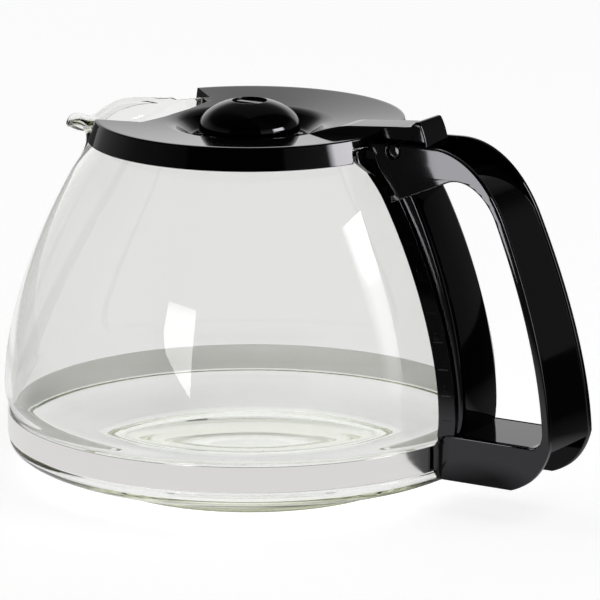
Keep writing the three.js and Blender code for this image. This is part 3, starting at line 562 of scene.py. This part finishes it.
# Lower end round the band, end of the thumb recess, cross wall for the screw and hook over the rim.
low_zs = [bottom_z + 0.3, 16.0, band_top - 0.1, band_top + 0.1, bridge_z - 0.2]
lower = [
    hugging(low_zs, -edge_y, -clamp_half, block_face),
    hugging(low_zs, clamp_half, edge_y, block_face),
    hugging([22.1, 22.3, bridge_z - 0.2], -bridge_half, bridge_half, block_face),
    hugging([bottom_z + 0.3, 13.3], -bridge_half, bridge_half, block_face),
]
recess_end = hugging(np.linspace(92.8, 110.5, 12), -inner_half, inner_half, recess_face)
hole_turns = np.linspace(0, 2 * math.pi, 32)[:-1]
screw_hole = [(screw_hole_r * math.cos(a), band_z + screw_hole_r * math.sin(a)) for a in hole_turns]
cross = plain_box((-inner_half, bottom_z + 1), (inner_half, bridge_z - 1))
cross_wall = plate([cross, screw_hole], cross_in, cross_out, 0.2, upright_cross)
hook_line = [(hook_in, hook_low), (rim_in, hook_low), (rim_in, rim_over_z), (rim_out, rim_over_z)]
hook_line += [(rim_out, hook_low), (hook_out, hook_low), (hook_out, hook_top), (hook_in, hook_top)]
hook_profile = eased([*hook_line, hook_line[0]], 0.3, 3)[:-1]
hook_half = math.asin(hook_side / 46)
hook = turned([hook_profile] * 13, np.linspace(-hook_half, hook_half, 13), whole=False, loop=True)


def wing(low, high, inside, thick, out_y, side_of):
    """Wing round the jug at one side of the handle, from low(y) to high(y) and rounded at its end."""
    end_r = 0.6
    last = math.asin(out_y / (inside((low(out_y) + high(out_y)) / 2) + thick))
    profiles, turns = [], np.linspace(last * 0.7, last, 16)
    for turn in turns:
        y = out_y * math.sin(turn) / math.sin(last)
        left = min((last - turn) * inside(high(y)), end_r)
        full = thick - end_r + math.sqrt(end_r**2 - (end_r - left) ** 2)
        zs = np.linspace(low(y), high(y), 8)
        outer_line = [(inside(z) + full, z) for z in zs]
        inner_line = [(inside(z), z) for z in zs[::-1]]
        profiles.append(eased([inner_line[-1], *outer_line, *inner_line], 0.4, 3)[:-1])
    return turned(profiles, side_of * turns, whole=False, loop=True)


neck_wing_z, neck_wing_t = 110.2, 2.0
neck_wing_y = half_w * taper(neck_wing_z) + 3.8
band_wing_y, band_wing_t = 15.5, 1.6


def by_neck(z):
    return glass_r(z) + 0.4


def neck_low(y):
    return float(np.interp(y, [neck_wing_y - 4.8, neck_wing_y], [102.0, 106.8]))


def neck_high(y):
    return neck_wing_z


def by_band(z):
    return band_clear if z < band_top + 0.1 else band_clear + 0.4


def band_low(y):
    return float(np.interp(y, [14.0, band_wing_y], [11.6, 13.9]))


def band_high(y):
    return float(np.interp(y, [14.7, band_wing_y], [23.4, 22.6]))


# Wings round the jug at the neck and at the band.
wings = []
for side_of in (-1, 1):
    wings.append(wing(neck_low, neck_high, by_neck, neck_wing_t, neck_wing_y, side_of))
    wings.append(wing(band_low, band_high, by_band, band_wing_t, band_wing_y, side_of))

face_proud, face_drop = 0.4, 1.35


def scale_face(z, share):
    """Face of the flange that carries the cup scale, at a share of its width out from the glass."""
    y = -half_w * taper(z) - face_proud
    start_x = hug_x(z, y) - 0.1
    return start_x + share * (flange_x(z) - start_x), y + face_drop * share


# Leaning faces beside the glass, of which the near one carries the cup scale.
beside_glass = []
for z in np.linspace(bridge_z - 0.8, neck_wing_z, 46):
    deep = -11.9 * taper(z)
    corners = [(hug_x(z, deep) - 0.1, deep), scale_face(z, 0), scale_face(z, 1), (flange_x(z), deep)]
    beside_glass.append([(x, y, z) for x, y in eased(corners, 0.2, 3)])
near_flange = skin(beside_glass)
far_flange = skin([[(x, -y, z) for x, y, z in level] for level in beside_glass])

handle_shells = [near_flange, far_flange, near_wall, far_wall, strap_shell, skin(column), *lower]
handle_shells += [cross_wall, recess_end, hook, *wings]
handle = make_piece("handle_moulding", handle_shells, sharp=35)
handle.modifiers.new("flat_faces", "WEIGHTED_NORMAL").keep_sharp = True

black, tree, shader = make_material("gloss_black")
shader.inputs["Base Color"].default_value = (0.0021, 0.0019, 0.0026, 1)
shader.inputs["Specular Tint"].default_value = (0.96, 0.94, 1, 1)
shader.inputs["IOR"].default_value = 1.55
tree.links.new(spread(tree, add_noise(tree, 45, 6), 0.03, 0.08), shader.inputs["Roughness"])
tree.links.new(add_bump(tree, add_noise(tree, 70, 2), 0.02, 0.0005), shader.inputs["Normal"])
handle.data.materials.append(black)
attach(handle, "jug")
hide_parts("handle")

# Cup scale
# Raised in the handle's mould on the flange beside the glass: one fine line a cup, with a numeral
# over every second one. It is part of the black moulding.

marks = {3: 29.7, 4: 37.5, 5: 45.5, 6: 53.8, 7: 62.6, 8: 72.3, 9: 83.0, 10: 96.4}
mark_long, mark_proud, mark_thick = 3.0, 0.2, 0.32
face_lean = math.radians(15.5)
numeral_high, numeral_rise = 3.6, 0.7


def group_tree(name, sockets):
    """Empty node group with a geometry input, the named inputs and a geometry output."""
    tree = bpy.data.node_groups.new(name, "GeometryNodeTree")
    tree.interface.new_socket("Geometry", in_out="INPUT", socket_type="NodeSocketGeometry")
    for socket, kind in sockets.items():
        tree.interface.new_socket(socket, in_out="INPUT", socket_type=kind)
    tree.interface.new_socket("Geometry", in_out="OUTPUT", socket_type="NodeSocketGeometry")
    return tree, tree.nodes.new("NodeGroupInput"), tree.nodes.new("NodeGroupOutput")


def end_group(tree, instances, material, group_out):
    """Makes the instances real, gives them the material and sends them out of the group."""
    real = tree.nodes.new("GeometryNodeRealizeInstances")
    finish = tree.nodes.new("GeometryNodeSetMaterial")
    tree.links.new(instances, real.inputs["Geometry"])
    tree.links.new(real.outputs["Geometry"], finish.inputs["Geometry"])
    tree.links.new(material, finish.inputs["Material"])
    tree.links.new(finish.outputs["Geometry"], group_out.inputs["Geometry"])


def bake_group(made, tree, values):
    """Runs the tree on an object with the named values and keeps the result as its plain mesh."""
    modifier = made.modifiers.new(tree.name, "NODES")
    modifier.node_group = tree
    for item in tree.interface.items_tree:
        if item.in_out == "INPUT" and item.name in values:
            modifier[item.identifier] = values[item.name]
    bpy.context.view_layer.update()
    baked = as_mesh(made)
    made.modifiers.clear()
    made.data = baked


line_inputs = dict.fromkeys(("Long", "Proud", "Thick"), "NodeSocketFloat")
rows, group_in, group_out = group_tree("scale_lines", {**line_inputs, "Finish": "NodeSocketMaterial"})
spots = rows.nodes.new("GeometryNodeMeshToPoints")
bar_size = rows.nodes.new("ShaderNodeCombineXYZ")
bar = rows.nodes.new("GeometryNodeMeshCube")
placed = rows.nodes.new("GeometryNodeInstanceOnPoints")
placed.inputs["Rotation"].default_value = (0, 0, face_lean)
rows.links.new(group_in.outputs["Geometry"], spots.inputs["Mesh"])
for socket, axis in (("Long", "X"), ("Proud", "Y"), ("Thick", "Z")):
    rows.links.new(group_in.outputs[socket], bar_size.inputs[axis])
rows.links.new(bar_size.outputs["Vector"], bar.inputs["Size"])
rows.links.new(spots.outputs["Points"], placed.inputs["Points"])
rows.links.new(bar.outputs["Mesh"], placed.inputs["Instance"])
end_group(rows, placed.outputs["Instances"], group_in.outputs["Finish"], group_out)

dots = bpy.data.meshes.new("scale_lines")
dots.from_pydata([Vector((*scale_face(z, 0.52), z)) * 0.001 for z in marks.values()], [], [])
scale = add_object("cup_scale_lines", dots)
sizes = {"Long": mark_long, "Proud": 2 * mark_proud, "Thick": mark_thick}
bake_group(scale, rows, {**{k: v * 0.001 for k, v in sizes.items()}, "Finish": black})
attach(scale, "jug")

for cups in (4, 6, 8, 10):
    z = marks[cups] + numeral_rise
    text = bpy.data.curves.new("numeral", "FONT")
    text.body = str(cups)
    text.align_x = "CENTER"
    text.size = numeral_high * 0.001
    text.extrude = mark_proud * 0.001
    text.bevel_depth = 0.00007
    text.bevel_resolution = 1
    holder = add_object("numeral", text)
    shape = as_mesh(holder)
    bpy.data.objects.remove(holder)
    narrow = 0.8 if cups < 10 else 0.62
    for v in shape.vertices:
        x, y = scale_face(z + 1000 * v.co.y, 0.48 + 200 * narrow * v.co.x)
        v.co = (0.001 * x, 0.001 * y - v.co.z, 0.001 * z + v.co.y)
    clean = bmesh.new()
    clean.from_mesh(shape)
    bmesh.ops.remove_doubles(clean, verts=clean.verts, dist=1e-6)
    bmesh.ops.recalc_face_normals(clean, faces=clean.faces)
    clean.to_mesh(shape)
    clean.free()
    shape.materials.clear()
    shape.materials.append(black)
    numeral = add_object(f"cup_numeral_{cups}", shape)
    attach(numeral, "jug")

# Lid
# Black moulding: a dished plate with a sunk well and a skirt outside the glass rim, cut away over
# the lip. The arm over the rim carries the thumb tab and the two pins that snap into the handle.

lid_r, lid_z, skirt_r, skirt_z, skirt_t = 48.1, 113.7, 50.4, 106.7, 1.3
well_z, dish_r, dish_z, dish_end = 111.4, 26.6, 111.78, (47.0, 113.62)
slot_out, floor_low, hub_r, hub_z = 16.65, 107.0, 6.4, 108.6
bite_x, bite_turn = 27.0, math.radians(37.8)
ring_in, ring_out, ring_low, ring_top, seat_z = 43.4, 44.9, 107.6, 111.2, 111.0
well_out, well_low, under_in_r, pocket_z = 24.0, 109.4, 42.0, 112.7
skirt_break, pocket_half = 16.2, 9.4
arm_half, tab_half, pin_end, pin_r = 6.0, 6.8, 10.7, 2.0

# Profiles of the plate: with its skirt, without it beside the arm, and thin over the handle's hook.
well_line = [(slot_out, floor_low + 0.4), (18.6, floor_low + 0.6), (22.4, well_z - 0.8)]
well_rim = bend(well_line[-1], (23.4, well_z + 0.02), (dish_r, dish_z), 12)
dish = [*eased(well_line, 0.9, 5)[:-1], *well_rim[:-1]]
well_under = [(well_out, well_low), (19.0, floor_low), (slot_out, floor_low)]
rim_line = [(dish_r, dish_z), dish_end, (48.0, 113.6), (48.3, 112.7), (skirt_r, skirt_z)]
rim_over = eased(rim_line, 0.7, 5)[:-1]
skirt_in = skirt_r - skirt_t - (seat_z - skirt_z) * (skirt_r - lid_r) / (lid_z - skirt_z)
skirt_line = [rim_over[-1], (skirt_r, skirt_z), (skirt_r - skirt_t, skirt_z), (skirt_in, seat_z)]
inner_ring = [(ring_out, seat_z), (ring_out, ring_low), (ring_in, ring_low), (ring_in, ring_top)]
skirted = [*dish, *rim_over, *eased(skirt_line, 0.3, 3)[1:], *inner_ring, *well_under]
low_r = lid_r + 0.15 + (lid_z - 0.8 - seat_z) * 0.36
bare = [*dish, *rim_over, (low_r, seat_z), (under_in_r, seat_z), *well_under]
pocket = [(low_r - 0.6, pocket_z), (under_in_r, pocket_z), (under_in_r, seat_z)]
thin = [*dish, *rim_over, *pocket, *well_under]

# Cut-out over the lip.
bite_tip = (lid_r * math.cos(bite_turn), lid_r * math.sin(bite_turn))
bite_leads = ((bite_x, bite_tip[1] - 11), (bite_x, bite_tip[1] - 5), (bite_x + 4, bite_tip[1] - 3))
bite_curve = bezier(*bite_leads, bite_tip, 24)
bite_angles = np.arctan2(bite_curve[:, 1], bite_curve[:, 0])
bite_radii = np.linalg.norm(bite_curve, axis=1)


def bite_r(off):
    """Where the plate ends over the lip, at an angle off the lip's middle."""
    if off < bite_angles[0]:
        return bite_x / math.cos(off)
    return float(np.interp(off, bite_angles, bite_radii))


def dish_top(r):
    return dish_z + (dish_end[1] - dish_z) * (r - dish_r) / (dish_end[0] - dish_r)


near_bite = np.linspace(-bite_turn, -bite_angles[0], 20)
far_bite = np.linspace(bite_angles[0], bite_turn, 20)
bitten, bite_turns = [], []
for t in np.concatenate([near_bite, np.linspace(-0.58, 0.58, 34), far_bite]):
    r = min(bite_r(abs(t)) - 0.02, 47.2)
    low = np.interp(r, [well_out, ring_in], [well_low, ring_top])
    lip = eased([(dish_r, dish_z), (r, dish_top(r)), (r, low), (24.6, 109.46)], 0.5, 5)
    bitten.append([*dish, *lip, *well_under])
    bite_turns.append(math.pi + t)

break_turn, pocket_turn = math.asin(skirt_break / 49), math.asin(pocket_half / 45)
lid_shells = []
for profile, start, end, count in (
    (skirted, break_turn, math.pi - bite_turn, 110),
    (skirted, bite_turn - math.pi, -break_turn, 110),
    (bare, pocket_turn, break_turn, 8),
    (bare, -break_turn, -pocket_turn, 8),
    (thin, -pocket_turn, pocket_turn, 14),
):
    sector = np.linspace(start, end, count)
    lid_shells.append(turned([profile] * count, sector, whole=False, loop=True))
lid_shells.append(turned(bitten, bite_turns, whole=False, loop=True))

# Arm, thumb tab, hinge pins and the hub of the well.
arm = [(25.0, 110.6), (42.7, 112.7), (56.1, 112.7), (56.1, 110.8), (60.1, 110.8), (63.7, 112.0)]
arm += [*bend((62.7, 118.2), (59.8, 117.4), (56.4, 117.3), 8)]
arm += [*bend((39.4, 115.8), (34.0, 115.2), (25.0, 111.8), 10)]
arm_shell = plate([arm], -arm_half, arm_half, 0.45, upright_side)
tab = [(62.4, 111.1), *bend((66.4, 110.3), (67.5, 110.3), (67.4, 111.4), 6)]
tab += [*bend((67.4, 111.4), (66.5, 116.4), (64.7, 119.4), 10)[1:]]
tab += [*bend((64.7, 119.4), (64.3, 119.8), (63.3, 119.6), 6)[1:], (61.7, 118.4)]
tab_shell = plate([tab], -tab_half, tab_half, 0.5, upright_side)
small_turns = np.linspace(0, 2 * math.pi, 40, endpoint=False)
pin_line = eased([(0, -pin_end), (pin_r, -pin_end), (pin_r, pin_end), (0, pin_end)], 0.4, 3)
points, faces = turned([pin_line] * len(small_turns), small_turns)
pin_shell = ([(x + pivot_x, z, y + pivot_z) for x, y, z in points], faces)
hub_line = eased([(0, hub_z), (hub_r, hub_z), (hub_r, floor_low), (0, floor_low)], 0.25, 3)
hub_shell = turned([hub_line] * len(small_turns), small_turns)
lid = make_piece("lid_moulding", [*lid_shells, arm_shell, tab_shell, pin_shell, hub_shell], sharp=35)
lid.modifiers.new("flat_faces", "WEIGHTED_NORMAL").keep_sharp = True

lid_black, tree, shader = make_material("lid_black")
shader.inputs["Base Color"].default_value = (0.0024, 0.0022, 0.003, 1)
shader.inputs["Specular Tint"].default_value = (0.96, 0.94, 1, 1)
shader.inputs["IOR"].default_value = 1.55
tree.links.new(spread(tree, add_noise(tree, 40, 6), 0.04, 0.08), shader.inputs["Roughness"])
tree.links.new(add_bump(tree, add_noise(tree, 60, 2), 0.03, 0.0005), shader.inputs["Normal"])
lid.data.materials.append(lid_black)
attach(lid, "lid")
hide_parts("lid")

# Well spokes
# Eight spokes of the lid's moulding make the well's floor, and the coffee runs through the slots
# between them. Those under the dome's four legs have a window that the leg snaps into.

slot_w, spoke_t = 3.6, 0.9
spoke_in, spoke_out, spoke_root = 6.2, 16.9, 0.08
window_in, window_out, window_half = 12.9, 15.3, 2.3


def laid_flat(u, v, w):
    return u, v, w


spin_inputs = {"Count": "NodeSocketInt", "Start": "NodeSocketFloat", "Finish": "NodeSocketMaterial"}
spin, group_in, group_out = group_tree("round_the_axis", spin_inputs)
spots = spin.nodes.new("GeometryNodePoints")
number = spin.nodes.new("GeometryNodeInputIndex")
step = add_math(spin, "DIVIDE", 2 * math.pi, group_in.outputs["Count"])
spoke_turn = add_math(spin, "MULTIPLY", number.outputs["Index"], step)
axis = spin.nodes.new("ShaderNodeCombineXYZ")
turning = spin.nodes.new("FunctionNodeEulerToRotation")
placed = spin.nodes.new("GeometryNodeInstanceOnPoints")
spin.links.new(group_in.outputs["Count"], spots.inputs["Count"])
spin.links.new(add_math(spin, "ADD", spoke_turn, group_in.outputs["Start"]), axis.inputs["Z"])
spin.links.new(axis.outputs["Vector"], turning.inputs["Euler"])
spin.links.new(turning.outputs["Rotation"], placed.inputs["Rotation"])
spin.links.new(spots.outputs["Points"], placed.inputs["Points"])
spin.links.new(group_in.outputs["Geometry"], placed.inputs["Instance"])
end_group(spin, placed.outputs["Instances"], group_in.outputs["Finish"], group_out)

spoke_half = math.pi / 8 - math.asin(slot_w / 2 / spoke_out)
spoke = [
    (r * math.cos(t), r * math.sin(t))
    for r, t in (
        (spoke_in, -spoke_root),
        (spoke_out, -spoke_half),
        (spoke_out, 0),
        (spoke_out, spoke_half),
        (spoke_in, spoke_root),
    )
]
window = plain_box((window_in, -window_half), (window_out, window_half))
for name, outlines, start in (("plain", [spoke], math.pi / 4), ("window", [spoke, window], 0.0)):
    shell = plate(outlines, floor_low, floor_low + spoke_t, 0.25, laid_flat)
    spokes = make_piece(f"lid_spokes_{name}", [shell], sharp=35)
    bake_group(spokes, spin, {"Count": 4, "Start": start, "Finish": lid_black})
    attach(spokes, "lid")

# Drip dome
# Glossy black cap that snaps into the lid's well with four legs. Coffee drips on it, runs in at the
# hole in its crown past the cross bar, and drains through the slots below.

dome_r, dome_h, dome_z, dome_t, crown_r = 15.75, 8.8, 110.4, 1.6, 5.4
dome_low, collar_in, collar_z = floor_low + 1.2, 1.1, 109.1
bar_long, bar_half, bar_t, bar_sunk = 6.0, 1.2, 1.6, 0.5
leg_in, leg_out, leg_low, leg_half = 13.2, 14.4, 105.3, 2.0
snap_out, snap_z = 0.5, 106.7


def cap_line(r, h, count):
    """Quarter of an oval from the dome's widest place to the hole in its crown."""
    swing = np.linspace(0, math.acos(crown_r / r), count)
    return np.column_stack([r * np.cos(swing), dome_z + h * np.sin(swing)])


cap_out = cap_line(dome_r, dome_h, 26)
cap_in = cap_line(dome_r - dome_t, dome_h - dome_t, 20)
crown = eased([cap_out[-2], cap_out[-1], cap_in[-1], cap_in[-2]], 0.45, 4)
collar = [(dome_r - collar_in, dome_low), (dome_r - collar_in, collar_z), (dome_r, collar_z + 0.1)]
collar = eased([*collar, cap_out[0]], 0.25, 3)[:-1]
dome_profile = [(dome_r - dome_t, dome_low), *collar, *cap_out[:-2], *crown, *cap_in[:-2][::-1]]
dome_turns = np.linspace(0, 2 * math.pi, 120, endpoint=False)
dome_shell = turned([dome_profile] * len(dome_turns), dome_turns, loop=True)
bar_top = cap_out[-1][1] - bar_sunk
cross_bar = rounded_box((-bar_long, -bar_half), (bar_long, bar_half), 0.3)
bar_shell = plate([cross_bar], bar_top - bar_t, bar_top, 0.3, laid_flat)
dome = make_piece("dome_cap", [dome_shell, bar_shell], sharp=40)
dome.modifiers.new("flat_faces", "WEIGHTED_NORMAL").keep_sharp = True
dome.data.materials.append(black)
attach(dome, "lid")
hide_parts("drip_dome")

snap = [(leg_in, leg_low), (leg_out - 0.4, leg_low), (leg_out + snap_out, snap_z - 0.3)]
snap += [(leg_out + snap_out, snap_z), (leg_out, snap_z), (leg_out, dome_z + 1.4), (leg_in, dome_z + 1.4)]
legs = make_piece("dome_legs", [plate([snap], -leg_half, leg_half, 0.15, upright_side)], sharp=35)
bake_group(legs, spin, {"Count": 4, "Start": 0.0, "Finish": black})
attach(legs, "lid")

# Table
# Pale sheet just under the foot. It looks white and keeps a faint shadow of the jug. Mirrored in the black
# mouldings and the steel, it shows a painted reflection: a glow that mostly dims the farther off it lies.

view_turn = math.radians(32)
table_low, table_half = -0.1, 9000
sheet = plain_box((-table_half, -table_half), (table_half, table_half))


def add_ramp(tree, value, stops):
    """Grey level that follows a value through the stops given."""
    ramp = tree.nodes.new("ShaderNodeValToRGB")
    marks = ramp.color_ramp.elements
    for number, (at, level) in enumerate(stops):
        mark = marks[number] if number < 2 else marks.new(at)
        mark.position = at
        mark.color = (level, level, level, 1)
    tree.links.new(value, ramp.inputs["Fac"])
    return ramp.outputs["Color"]


def add_mix(tree, share, first, second):
    """Second shader laid over the first one by a share."""
    mix = tree.nodes.new("ShaderNodeMixShader")
    tree.links.new(share, mix.inputs["Fac"])
    tree.links.new(first, mix.inputs[1])
    tree.links.new(second, mix.inputs[2])
    return mix.outputs["Shader"]


def add_glow(tree, strength):
    glow = tree.nodes.new("ShaderNodeEmission")
    tree.links.new(strength, glow.inputs["Strength"])
    return glow.outputs["Emission"]


table = make_piece("table", [([(x, y, table_low) for x, y in sheet], [(0, 1, 2, 3)])])
paper, tree, shader = make_material("pale_table")
shader.inputs["Base Color"].default_value = (0.5, 0.5, 0.5, 1)
shader.inputs["Roughness"].default_value = 1
shader.inputs["Specular IOR Level"].default_value = 0
ray = tree.nodes.new("ShaderNodeLightPath")
from_jug = tree.nodes.new("ShaderNodeVectorMath")
from_jug.operation = "LENGTH"
tree.links.new(own_place(tree), from_jug.inputs[0])
off = from_jug.outputs["Value"]

# White as it is seen, straight or through the glass, with painted light under the foot that keeps the
# floor seen through the foot white where the jug's shade lies.
in_view = add_math(tree, "MAXIMUM", ray.outputs["Is Camera Ray"], ray.outputs["Is Transmission Ray"])
open_white = spread(tree, off, 0.82, 1.0, 0.15, 3.0)
painted_light_under_foot = spread(tree, off, 0.18, 0.0, 0.045, 0.075)
white = add_math(tree, "MULTIPLY", in_view, add_math(tree, "ADD", open_white, painted_light_under_foot))
lit = tree.nodes.new("ShaderNodeAddShader")
tree.links.new(shader.outputs["BSDF"], lit.inputs[0])
tree.links.new(add_glow(tree, white), lit.inputs[1])

# Painted reflection, seen only by mirrored rays: a glow bright near the jug, with painted shade by the
# foot on its right and far off at its right behind, and a painted white strip behind.
as_viewed = tree.nodes.new("ShaderNodeMapping")
as_viewed.inputs["Rotation"].default_value = (0, 0, -view_turn)
tree.links.new(own_place(tree), as_viewed.inputs["Vector"])
right, behind, _ = split_place(tree, as_viewed.outputs["Vector"])
painted_reflection = add_ramp(tree, spread(tree, off, 0, 1, 0, 0.5), [(0.0, 0.8), (0.36, 0.8), (0.6, 0.08)])
painted_shade_by_foot = spread(tree, off, 0, 1, 0.108, 0.095), spread(tree, right, 0, 1, -0.01, 0.02)
painted_shade_far_right = spread(tree, behind, 0, 1, -0.05, 0.0), spread(tree, right, 0, 1, 0.05, 0.1)
for corner, left_over in ((painted_shade_by_foot, 0.25), (painted_shade_far_right, 0.1)):
    painted_dim = spread(tree, add_math(tree, "MULTIPLY", *corner), 1.0, left_over, 0, 1)
    painted_reflection = add_math(tree, "MULTIPLY", painted_reflection, painted_dim)
painted_strip_wide = spread(tree, add_math(tree, "ABSOLUTE", right, 0), 1.0, 0.0, 0.2, 0.28)
painted_strip_deep = spread(tree, behind, 0.0, 0.9, 0.12, 0.22)
painted_reflection = add_math(tree, "MAXIMUM", painted_reflection, add_math(tree, "MULTIPLY", painted_strip_wide, painted_strip_deep))
bounced = add_math(tree, "SUBTRACT", ray.outputs["Is Glossy Ray"], ray.outputs["Is Transmission Ray"])
bounced = spread(tree, bounced, 0, 1, 0, 1)
surface = add_mix(tree, bounced, lit.outputs["Shader"], add_glow(tree, painted_reflection))
tree.links.new(surface, tree.nodes["Material Output"].inputs["Surface"])
table.data.materials.append(paper)
table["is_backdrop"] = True

# Room
# White surroundings as seen straight or through the glass. Mirrored, they are a dim studio with a
# bright side behind the jug, darker overhead.

room = bpy.data.worlds.new("room")
bpy.context.scene.world = room
room.use_nodes = True
tree = room.node_tree
tree.nodes.clear()
ray = tree.nodes.new("ShaderNodeLightPath")
in_view = add_math(tree, "MAXIMUM", ray.outputs["Is Camera Ray"], ray.outputs["Is Transmission Ray"])
east, north, up = split_place(tree, tree.nodes.new("ShaderNodeTexCoord").outputs["Generated"])
compass = spread(tree, add_math(tree, "ARCTAN2", east, north), 0, 1, -math.pi, math.pi)
round_levels = [(0.0, 0.01), (0.0389, 0.01), (0.046, 0.1), (0.17, 0.12), (0.28, 0.3), (0.36, 1.0)]
round_levels += [(0.51, 0.9), (0.535, 0.09), (0.675, 0.07), (0.756, 0.3), (0.836, 0.3)]
round_levels += [(0.842, 0.01), (1.0, 0.01)]
height_levels = [(0.19, 1.0), (0.33, 0.77), (0.42, 0.3), (0.52, 0.1), (0.7, 0.06)]
studio = tree.nodes.new("ShaderNodeBackground")
tree.links.new(add_ramp(tree, compass, round_levels), studio.inputs["Color"])
tree.links.new(add_ramp(tree, up, height_levels), studio.inputs["Strength"])
backdrop = tree.nodes.new("ShaderNodeBackground")
backdrop.inputs["Color"].default_value = (1, 1, 1, 1)
around_all = add_mix(tree, in_view, studio.outputs["Background"], backdrop.outputs["Background"])
tree.links.new(around_all, tree.nodes.new("ShaderNodeOutputWorld").inputs["Surface"])

# Lamps
# Two soft boxes over the table, at the right of the camera and behind on the left, light the table
# and the pieces. No surface mirrors them.

jug_middle = Vector((0, 0, 0.06))


def face_jug(made, turn, rise, distance):
    """Puts a lamp or a card before the jug, turned from the camera to the right, and aims it."""
    a, e = view_turn + math.radians(turn), math.radians(rise)
    away = Vector((math.sin(a) * math.cos(e), -math.cos(a) * math.cos(e), math.sin(e)))
    made.location = jug_middle + away * distance
    made.rotation_euler = away.to_track_quat("Z", "Y").to_euler()


def soft_box(name, turn, rise, level, distance=1.2, size=0.9):
    """Square area lamp of an even level."""
    lamp = bpy.data.lights.new(name, "AREA")
    lamp.shape = "SQUARE"
    lamp.size = size
    lamp.energy = level * math.pi * size**2
    made = add_object(name, lamp)
    face_jug(made, turn, rise, distance)
    made.visible_camera = False
    made.visible_glossy = False
    made.visible_transmission = False
    made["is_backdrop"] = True


soft_box("key_lamp", 60, 50, 1.5)
soft_box("fill_lamp", -120, 55, 0.8)

# Cards
# Two bright cards that only glossy surfaces mirror: a five-sided one low at the left, whose image
# lies on the belly, and a tall one at the right for the shoulder, the skirt and the dome.


def soft_card(name, turn, rise, distance, outline, level, fades):
    """Card that shines towards the jug. Its level fades by the stops given along its own axes."""
    mesh = bpy.data.meshes.new(name)
    mesh.from_pydata([(x, y, 0) for x, y in outline], [], [tuple(range(len(outline)))])
    card = add_object(name, mesh)
    face_jug(card, turn, rise, distance)
    shine, tree, shader = make_material(name)
    tree.nodes.remove(shader)
    to_jug = tree.nodes.new("ShaderNodeNewGeometry").outputs["Backfacing"]
    strength = add_math(tree, "MULTIPLY", to_jug, level)
    place = split_place(tree, own_place(tree))
    for axis, stops in fades.items():
        ends = [p[axis] for p in outline]
        along = spread(tree, place[axis], 0, 1, min(ends), max(ends))
        strength = add_math(tree, "MULTIPLY", strength, add_ramp(tree, along, stops))
    tree.links.new(add_glow(tree, strength), tree.nodes["Material Output"].inputs["Surface"])
    mesh.materials.append(shine)
    card.visible_camera = False
    card.visible_diffuse = False
    card.visible_transmission = False
    card.visible_shadow = False
    card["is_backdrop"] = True


left_outline = [(0.0284, 0.0145), (0.0004, 0.016), (0.0008, -0.0022), (0.0054, -0.0139), (0.0318, -0.04)]
left_fades = {1: [(0, 1), (0.88, 1), (1, 0.45)]}
soft_card("left_card", -33, 10.9, 0.14, left_outline, 7.5, left_fades)
right_outline = [(-0.035, -0.03), (0.035, -0.03), (0.035, 0.065), (0.08, 0.065)]
right_outline += [(0.08, 0.136), (-0.035, 0.136)]
right_fades = {
    0: [(0, 0), (0.17, 1), (0.8, 1), (1, 0.3)],
    1: [(0, 0), (0.3, 0.36), (0.6, 0.4), (0.73, 1)],
}
soft_card("right_card", 62.3, 0, 0.2, right_outline, 12, right_fades)

# Camera
# Long lens a little above the lid, in front of the jug with the handle to the right. Light paths
# are long enough to find their way out of the thick glass of the lip and the foot.

lens = bpy.data.cameras.new("camera")
lens.lens = 317
lens.sensor_width = 36
lens.clip_end = 30
camera = add_object("camera", lens)
camera.location = (0.8497, -1.3599, 0.4438)
aim = Vector((0.0132, 0.0083, 0.0549)) - camera.location
camera.rotation_euler = aim.to_track_quat("-Z", "Y").to_euler()
bpy.context.scene.camera = camera
bpy.context.scene.view_settings.view_transform = "Standard"
paths = bpy.context.scene.cycles
paths.max_bounces = 48
paths.glossy_bounces = 24
paths.transmission_bounces = 48

low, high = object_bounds()
